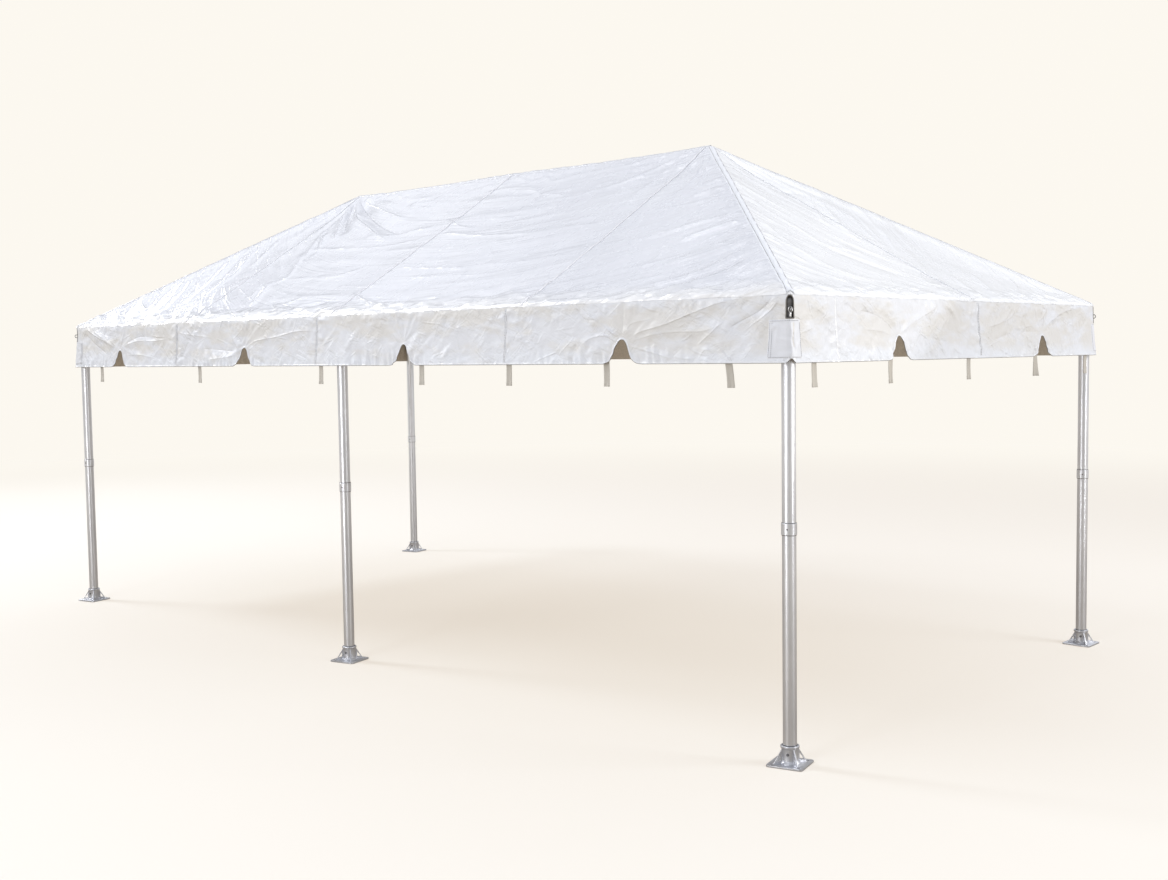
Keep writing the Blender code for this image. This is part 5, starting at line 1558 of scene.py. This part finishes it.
for sx, peak in ((1, PEAK_R), (-1, PEAK_L)):
    for sy in (-1, 1):
        line = plan_line((peak + sx * 0.02, sy * 0.02), (sx * (COVER_X - 0.014), sy * (COVER_Y - 0.014)), 0.02)
        along = unit(np.gradient(line, axis=0))
        side = np.stack([along[:, 1], -along[:, 0]], -1)
        for off in (-0.0125, 0.0125):
            place = line + side * off
            p, n = roof_at(place[:, 0], place[:, 1])
            stitch_line(p + n * 0.0037, n)
for off in (-0.012, 0.012):
    line = plan_line((PEAK_L, off), (PEAK_R, off), 0.02)
    p, n = roof_at(line[:, 0], line[:, 1])
    stitch_line(p + n * 0.0036, n, 0.011)
stitch_obj = build_mesh("stitching", *join_parts(stitch_parts), STITCH)


# ------------------------------------------------------------------ straps
def strap_mesh(s, rng, lean, twist, end_z=1.602):
    """One webbing strap: (verts, quads, uv)."""
    rows = 40
    top, t = 1.800, np.linspace(0, 1, rows)
    z = top + (end_z + 0.001 - top) * t
    hang = np.clip((VAL_HEM + 0.03 - z) / 0.13, 0, 1)
    base_out = np.min([skirt_offset(np.full(rows, s + off), np.maximum(z, VAL_HEM + 0.012))
                       for off in (-0.020, -0.010, 0.0, 0.010, 0.020)], axis=0) - 0.0034
    hem_out = float(np.interp(VAL_HEM, z[::-1], base_out[::-1]))
    out = base_out + hang * rng.uniform(-0.006, 0.004) - 0.002 * np.sin(math.pi * hang)
    drift = lean * hang ** 1.2 + rng.uniform(-0.0015, 0.0015) * np.sin(3 * hang)
    point, normal = around(np.full(rows, s))
    way = np.stack([-normal[:, 1], normal[:, 0]], -1)
    turn = twist * hang ** 1.5
    half = np.full(rows, 0.0190)
    thick = np.full(rows, 0.0011)
    fold = z < end_z + 0.019
    thick[fold] = 0.0020
    half[fold] = 0.0193
    xs = np.array((-1.0, -0.94, -0.5, -0.44, -0.06, 0.0, 0.06, 0.44, 0.5, 0.94, 1.0))
    rib = np.array((0.2, 1.0, 1.0, 0.72, 1.0, 0.75, 1.0, 0.72, 1.0, 1.0, 0.2))
    xs = np.concatenate([xs, xs[::-1]])
    ys = np.concatenate([rib, -rib[::-1]])
    verts = []
    for k in range(rows):
        c, q = math.cos(turn[k]), math.sin(turn[k])
        a = xs * half[k]
        b = ys * thick[k]
        along = a * c - b * q + drift[k]
        away = a * q + b * c + out[k]
        xy = point[k] + way[k] * along[:, None] + normal[k] * away[:, None]
        verts.append(np.concatenate([xy, np.full((len(xs), 1), z[k])], 1))
    n = len(xs)
    verts.insert(0, np.repeat(verts[0].mean(0)[None], n, 0))
    verts.append(np.repeat(verts[-1].mean(0)[None], n, 0))
    count = rows + 2
    r, c = np.meshgrid(np.arange(count - 1), np.arange(n), indexing="ij")
    m = (c + 1) % n
    faces = np.stack([r * n + c, (r + 1) * n + c, (r + 1) * n + m, r * n + m], -1).reshape(-1, 4)
    zz = np.concatenate([[z[0]], z, [z[-1]]])
    uv = np.stack([np.repeat((xs * 0.019)[None], count, 0), np.repeat(zz[:, None], n, 1)], -1)
    return np.concatenate(verts), faces, uv.reshape(-1, 2)


def tape_piece(s, parts, uvs):
    """A length of the sewn tape that carries the straps, behind the skirt."""
    floor_out = np.min([skirt_offset(s + off, np.full(len(s), high)) for off in (-0.012, -0.006, 0.0, 0.006, 0.012)
                        for high in (1.774, 1.781, 1.788, 1.795, 1.801)], axis=0)
    cols = []
    for z, out in ((1.7765, -0.0032), (1.7765, -0.0012), (1.7985, -0.0012), (1.7985, -0.0032)):
        level = np.full(len(s), z)
        cols.append(skirt_point(s, level, floor_out - skirt_offset(s, level) + out))
    verts = np.stack(cols, 1)
    n, rows = 4, len(s)
    r, c = np.meshgrid(np.arange(rows - 1), np.arange(n), indexing="ij")
    m = (c + 1) % n
    tube = np.stack([r * n + c, (r + 1) * n + c, (r + 1) * n + m, r * n + m], -1).reshape(-1, 4)
    ends = np.array([(0, 1, 2, 3), tuple((rows - 1) * n + q for q in (3, 2, 1, 0))])
    parts.append((verts.reshape(-1, 3), np.concatenate([tube, ends])))
    uvs.append(np.stack([np.tile((0, 0.002, 0.024, 0.026), rows), np.repeat(s, n)], -1))


strap_objs = []
lean_front = (0.002, -0.002, 0.001, 0.002, -0.003, -0.002, 0.012)
lean_right = (0.000, 0.006, -0.001, 0.010, 0.002)
for side, name, places, leans in ((0, "front", FRONT_STRAPS, lean_front),
                                  (1, "right_end", RIGHT_STRAPS, lean_right)):
    parts, uvs = [], []
    for k, place in enumerate(places):
        rng = np.random.default_rng(400 + 20 * side + k)
        twist = rng.uniform(-0.12, 0.12) + (0.55 if side == 1 and k == 3 else 0.0)
        v, f, uv = strap_mesh(side_s(side, place), rng, leans[k], twist)
        parts.append((v, f))
        uvs.append(uv)
    # sewn tape that carries the straps, inside the skirt
    start, span = SIDES[side][0], SIDES[side][1]
    stops = [start + 0.10]
    for centre in sorted(c for c in notch_s if start < c < start + span):
        stops += [centre - 0.062, centre + 0.062]
    stops.append(start + span - 0.10)
    pieces = [np.linspace(a, b, max(3, int((b - a) / 0.012))) for a, b in zip(stops[::2], stops[1::2])]
    for s in pieces:
        tape_piece(s, parts, uvs)
    v, f = join_parts(parts)
    strap_objs.append((build_mesh("webbing_straps_" + name, v, f, WEBBING, np.concatenate(uvs)), name))


# ------------------------------------------------------------------ frame pieces
def smooth_node(name, material, bevel=0.0, angle=32.0):
    obj = nodes[name]
    obj.data.materials.clear()
    obj.data.materials.append(material)
    weld = obj.modifiers.new("weld", "WELD")
    weld.merge_threshold = 0.00002
    if bevel:
        edge = obj.modifiers.new("edges", "BEVEL")
        edge.width, edge.segments, edge.limit_method = bevel, 2, "ANGLE"
        edge.angle_limit = math.radians(28)
        edge.harden_normals = False
    obj.data.polygons.foreach_set("use_smooth", np.ones(len(obj.data.polygons), bool))
    obj.data.update()
    split = obj.modifiers.new("split", "EDGE_SPLIT")
    split.split_angle, split.use_edge_sharp = math.radians(angle), False
    return obj


for name in list(nodes):
    if name.startswith(("roof_slope", "valance_", "tie_straps")):
        continue
    if name.startswith("base_plate"):
        smooth_node(name, CAST, 0.0009)
    elif "fitting" in name or name.endswith("tee") or "side_tee" in name:
        smooth_node(name, FITTING)
    elif "leg" in name:
        smooth_node(name, TUBE_UP)
    elif name.startswith("eave_tube") and not name.endswith("end") or name.startswith("ridge_tube"):
        smooth_node(name, TUBE_X)
    elif name.startswith("eave_tube"):
        smooth_node(name, TUBE_Y)
    else:
        smooth_node(name, TUBE_SLOPE)


def turned_piece(profile, place, axis, sides=14):
    """Closed lathe piece along an axis: profile of (radius, height)."""
    axis = np.asarray(axis, float) / np.linalg.norm(axis)
    a = np.cross(axis, (0.0, 0.0, 1.0) if abs(axis[2]) < 0.9 else (1.0, 0.0, 0.0))
    a = a / np.linalg.norm(a)
    b = np.cross(axis, a)
    turn = np.arange(sides) * math.tau / sides
    rows = [np.asarray(place) + axis * high + radius * (np.cos(turn)[:, None] * a + np.sin(turn)[:, None] * b)
            for radius, high in profile]
    n = sides
    r, c = np.meshgrid(np.arange(len(profile) - 1), np.arange(n), indexing="ij")
    m = (c + 1) % n
    return np.concatenate(rows), np.stack([r * n + c, r * n + m, (r + 1) * n + m, (r + 1) * n + c], -1).reshape(-1, 4)


DARK = plain_material("joint_shadow", (0.10, 0.10, 0.105), 0.5)
SCREW = plain_material("set_screw_steel", (0.16, 0.16, 0.17), 0.38, 0.7)
ring_parts, screw_parts = [], []
for _, x, y, _ in LEGS:
    # dark rings at each collar's top and bottom and at the socket lip: painted shadow of the joint gaps
    for z, radius in ((0.9838, TUBE_R + 0.0004), (1.0362, TUBE_R + 0.0004), (0.0862, TUBE_R + 0.0006)):
        turn = np.linspace(0, math.tau, 41)
        circle = np.stack([x + radius * np.cos(turn), y + radius * np.sin(turn), np.full(41, z)], -1)
        ring_parts.append(tube_along(circle, 0.0013, 6, caps=False))
    for z, reach, size in ((0.050, 0.0366, 1.0), (1.010, 0.0330, 0.62)):
        way = np.array((math.cos(math.radians(-71.0)), math.sin(math.radians(-71.0)), 0.0))
        head = ((0.0, -0.0010), (0.0062, -0.0010), (0.0064, 0.0014), (0.0056, 0.0030), (0.0036, 0.0036),
                (0.0032, 0.0018), (0.0, 0.0018))
        screw_parts.append(turned_piece([(size * r, size * h) for r, h in head], (x + way[0] * reach, y + way[1] * reach, z),
                                        way))
leg_rings = build_mesh("leg_joint_rings", *join_parts(ring_parts), DARK)
leg_screws = build_mesh("leg_set_screws", *join_parts(screw_parts), SCREW)
for obj in (leg_rings, leg_screws):
    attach(obj, "root")

# ------------------------------------------------------------------ riding, and the imported sheets hidden
cloth = [roof_obj, skirt_obj, shade_lining_obj, hem_obj, hang_obj, rim_obj, stitch_obj] + bands + patch_objs + seam_objs
cloth += [obj for obj, _ in strap_objs]
for obj in cloth:
    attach(obj, "root")
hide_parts("roof_slope_front", "roof_slope_back", "roof_slope_right_end", "roof_slope_left_end")
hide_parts("valance_front", "valance_back", "valance_right_end", "valance_left_end")
for obj, name in strap_objs:
    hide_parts("tie_straps_" + name)


# ------------------------------------------------------------------ stage
CREAM = (0.976, 0.940, 0.872)
FLOOR_ALBEDO = (0.403, 0.449, 0.480)
FLOOR_BOUNCE = (0.30, 0.27, 0.225)
FLOOR_GLOW = (0.560, 0.468, 0.368)


def stage_material():
    """Pale studio floor that fades into the backdrop with distance."""
    mat = bpy.data.materials.new("studio_floor")
    mat.use_nodes = True
    tree = mat.node_tree
    for item in list(tree.nodes):
        tree.nodes.remove(item)
    out = node(tree, "ShaderNodeOutputMaterial")
    diffuse = node(tree, "ShaderNodeBsdfDiffuse")
    diffuse.inputs["Color"].default_value = (*FLOOR_ALBEDO, 1)
    glow = node(tree, "ShaderNodeEmission")
    glow.inputs["Color"].default_value = (*CREAM, 1)
    base = node(tree, "ShaderNodeEmission")
    base.inputs["Color"].default_value = (*FLOOR_GLOW, 1)
    # the floor is lifted for the eye only, so it doesn't light the tent from below
    seen_by = node(tree, "ShaderNodeLightPath")
    lift = node(tree, "ShaderNodeMapRange")
    lift.inputs["To Min"].default_value, lift.inputs["To Max"].default_value = 0.22, 1.0
    tree.links.new(seen_by.outputs["Is Camera Ray"], lift.inputs["Value"])
    tree.links.new(lift.outputs[0], base.inputs["Strength"])
    near = node(tree, "ShaderNodeAddShader")
    # what it throws back on the tent is dimmer and warmer than what the eye sees
    bounce = node(tree, "ShaderNodeBsdfDiffuse")
    bounce.inputs["Color"].default_value = (*FLOOR_BOUNCE, 1)
    two = node(tree, "ShaderNodeMixShader")
    tree.links.new(seen_by.outputs["Is Camera Ray"], two.inputs["Fac"])
    tree.links.new(bounce.outputs[0], two.inputs[1])
    tree.links.new(diffuse.outputs[0], two.inputs[2])
    tree.links.new(two.outputs[0], near.inputs[0])
    tree.links.new(base.outputs[0], near.inputs[1])
    coord = node(tree, "ShaderNodeTexCoord")
    length = node(tree, "ShaderNodeVectorMath", operation="LENGTH")
    tree.links.new(coord.outputs["Object"], length.inputs[0])
    fade = node(tree, "ShaderNodeMapRange")
    fade.interpolation_type = "SMOOTHSTEP"
    for key, value in (("From Min", 5.5), ("From Max", 17.0), ("To Min", 0.0), ("To Max", 1.0)):
        fade.inputs[key].default_value = value
    tree.links.new(length.outputs["Value"], fade.inputs["Value"])
    far = node(tree, "ShaderNodeMixShader")
    tree.links.new(fade.outputs[0], far.inputs["Fac"])
    tree.links.new(near.outputs[0], far.inputs[1])
    tree.links.new(glow.outputs[0], far.inputs[2])
    tree.links.new(far.outputs[0], out.inputs["Surface"])
    return mat


radius = np.array((0.0, 3.0, 6.0, 10.0, 16.0, 30.0, 60.0, 120.0))
angle = np.arange(64) * math.tau / 64
disc = np.stack([radius[:, None] * np.cos(angle), radius[:, None] * np.sin(angle),
                 np.zeros((len(radius), 64))], -1)
r, c = np.meshgrid(np.arange(1, len(radius) - 1), np.arange(64), indexing="ij")
quads = np.stack([r * 64 + c, (r + 1) * 64 + c, (r + 1) * 64 + (c + 1) % 64, r * 64 + (c + 1) % 64], -1)
tris = quads.reshape(-1, 4)
disc_tris = np.concatenate([tris[:, (0, 1, 2)], tris[:, (0, 2, 3)],
                            np.stack([np.zeros(64, int), 64 + np.arange(64), 64 + (np.arange(64) + 1) % 64], -1)])
floor = build_mesh("studio_floor", disc.reshape(-1, 3), disc_tris, stage_material(), None, False)

world = bpy.data.worlds.new("studio")
bpy.context.scene.world = world
world.use_nodes = True
tree = world.node_tree
for item in list(tree.nodes):
    tree.nodes.remove(item)
out = node(tree, "ShaderNodeOutputWorld")
seen = node(tree, "ShaderNodeBackground")
seen.inputs["Color"].default_value = (*CREAM, 1)
lit = node(tree, "ShaderNodeBackground")
coord = node(tree, "ShaderNodeTexCoord")
split = node(tree, "ShaderNodeSeparateXYZ")
tree.links.new(coord.outputs["Generated"], split.inputs[0])
# soft boxes overhead, a dim room at eye level, darkest behind the tent
sky = ramp(tree, split.outputs["Z"], ((0.0, (0.53, 0.525, 0.515)), (0.20, (0.50, 0.50, 0.50)),
                                      (0.42, (0.50, 0.505, 0.52)), (0.58, (0.63, 0.645, 0.68)),
                                      (0.88, (0.63, 0.645, 0.69)), (1.0, (0.54, 0.555, 0.60))))
behind = node(tree, "ShaderNodeVectorMath", operation="DOT_PRODUCT")
tree.links.new(coord.outputs["Generated"], behind.inputs[0])
behind.inputs[1].default_value = (-0.68, 0.73, 0.0)
shade = node(tree, "ShaderNodeMapRange")
shade.interpolation_type = "SMOOTHSTEP"
for key, value in (("From Min", 0.55), ("From Max", 0.97), ("To Min", 1.0), ("To Max", 0.40)):
    shade.inputs[key].default_value = value
tree.links.new(behind.outputs["Value"], shade.inputs["Value"])
glow_dot = node(tree, "ShaderNodeVectorMath", operation="DOT_PRODUCT")
tree.links.new(coord.outputs["Generated"], glow_dot.inputs[0])
glow_dot.inputs[1].default_value = (-0.34, 0.845, 0.413)
glow = node(tree, "ShaderNodeMapRange")
glow.interpolation_type = "SMOOTHSTEP"
for key, value in (("From Min", 0.80), ("From Max", 0.955), ("To Min", 1.0), ("To Max", 2.95)):
    glow.inputs[key].default_value = value
tree.links.new(glow_dot.outputs["Value"], glow.inputs["Value"])
front_dot = node(tree, "ShaderNodeVectorMath", operation="DOT_PRODUCT")
tree.links.new(coord.outputs["Generated"], front_dot.inputs[0])
front_dot.inputs[1].default_value = (0.66, -0.75, 0.0)
dim = node(tree, "ShaderNodeMapRange")
dim.interpolation_type = "SMOOTHSTEP"
for key, value in (("From Min", 0.80), ("From Max", 0.98), ("To Min", 1.0), ("To Max", 0.50)):
    dim.inputs[key].default_value = value
tree.links.new(front_dot.outputs["Value"], dim.inputs["Value"])
tree.links.new(sky, lit.inputs["Color"])
both = add_maths(tree, shade.outputs[0], glow.outputs[0], "MULTIPLY")
tree.links.new(add_maths(tree, both, dim.outputs[0], "MULTIPLY"), lit.inputs["Strength"])
path = node(tree, "ShaderNodeLightPath")
mix = node(tree, "ShaderNodeMixShader")
tree.links.new(path.outputs["Is Camera Ray"], mix.inputs["Fac"])
tree.links.new(lit.outputs[0], mix.inputs[1])
tree.links.new(seen.outputs[0], mix.inputs[2])
tree.links.new(mix.outputs[0], out.inputs["Surface"])


def area_light(name, place, target, size, power, colour=(1, 1, 1)):
    data = bpy.data.lights.new(name, "AREA")
    data.shape = "RECTANGLE"
    data.size, data.size_y = size
    data.energy = power
    data.color = colour
    obj = bpy.data.objects.new(name, data)
    bpy.context.scene.collection.objects.link(obj)
    obj.location = place
    obj.rotation_euler = (Vector(target) - Vector(place)).to_track_quat("-Z", "Y").to_euler()
    obj.visible_camera = False
    return obj


def beam(name, place, target, edge, power, degrees, colour):
    """A spot whose rim, not its middle, passes through the target: edge is
    the direction from the lit side to the dark side."""
    data = bpy.data.lights.new(name, "SPOT")
    data.energy, data.color = power, colour
    data.spot_size, data.spot_blend = math.radians(2 * degrees), 0.0
    data.shadow_soft_size = 0.10
    obj = bpy.data.objects.new(name, data)
    bpy.context.scene.collection.objects.link(obj)
    obj.location = place
    way = (Vector(target) - Vector(place)).normalized()
    side = Vector(edge) - way * way.dot(Vector(edge))
    aim = way * math.cos(math.radians(degrees)) - side.normalized() * math.sin(math.radians(degrees))
    obj.rotation_euler = aim.to_track_quat("-Z", "Y").to_euler()
    return obj


area_light("key_right", (10.0, 3.0, 5.0), (2.0, 0.0, 2.2), (3.5, 2.5), 370.0, (1.0, 0.985, 0.97))
area_light("box_high", (-10.6, 2.7, 10.2), (-1.5, -0.8, 2.4), (6.0, 4.4), 52.0, (0.97, 0.98, 1.0))
area_light("box_top", (-6.2, 3.0, 13.2), (0.0, -0.8, 2.4), (1.8, 1.2), 22.0, (0.97, 0.98, 1.0))
area_light("box_eave", (-8.8, -3.7, 10.3), (-0.5, -1.5, 2.0), (3.0, 2.2), 400.0, (0.97, 0.98, 1.0))
area_light("box_left", (-13.2, 2.0, 5.4), (-1.5, -0.5, 2.5), (3.0, 1.6), 130.0, (0.97, 0.98, 1.0))
area_light("strip_right", (11.0, -0.4, 0.85), (3.05, -1.2, 0.85), (0.6, 1.6), 47.0, (0.98, 0.99, 1.0))
area_light("strip", (0.84, -9.2, 0.85), (2.0, -1.5, 0.85), (0.8, 1.6), 76.0, (0.985, 0.99, 1.0))
area_light("rake_left", (-13.5, -5.9, 8.6), (0.5, -1.5, 2.0), (2.5, 2.5), 600.0, (1.0, 0.985, 0.96))
area_light("front", (3.0, -13.0, 5.0), (0.0, -1.5, 2.0), (3.0, 2.5), 350.0, (0.97, 0.98, 1.0))
beam("beam_right", (14.45, 3.59, 2.93), (3.10, -0.19, 1.99), (-0.1436, 0.582, -0.800), 1300.0, 20.0,
     (1.0, 0.97, 0.90))


camera_data = bpy.data.cameras.new("camera")
camera = bpy.data.objects.new("camera", camera_data)
bpy.context.scene.collection.objects.link(camera)
bpy.context.scene.camera = camera
camera_data.sensor_width = 36.0
camera_data.sensor_fit = "HORIZONTAL"
camera_data.lens = 1338.1 / 1168.0 * 36.0
camera_data.clip_start, camera_data.clip_end = 0.05, 400.0
yaw, pitch, roll = math.radians(42.79), math.radians(-3.75), math.radians(-0.80)
forward = Vector((-math.sin(yaw) * math.cos(pitch), math.cos(yaw) * math.cos(pitch), math.sin(pitch)))
right = Vector((math.cos(yaw), math.sin(yaw), 0.0))
above = right.cross(forward)
right2 = right * math.cos(roll) + above * math.sin(roll)
above2 = above * math.cos(roll) - right * math.sin(roll)
camera.matrix_world = Matrix.Translation((6.222, -6.217, 1.764)) @ Matrix(
    (right2, above2, -forward)).transposed().to_4x4()

bpy.context.scene.view_settings.view_transform = "Standard"
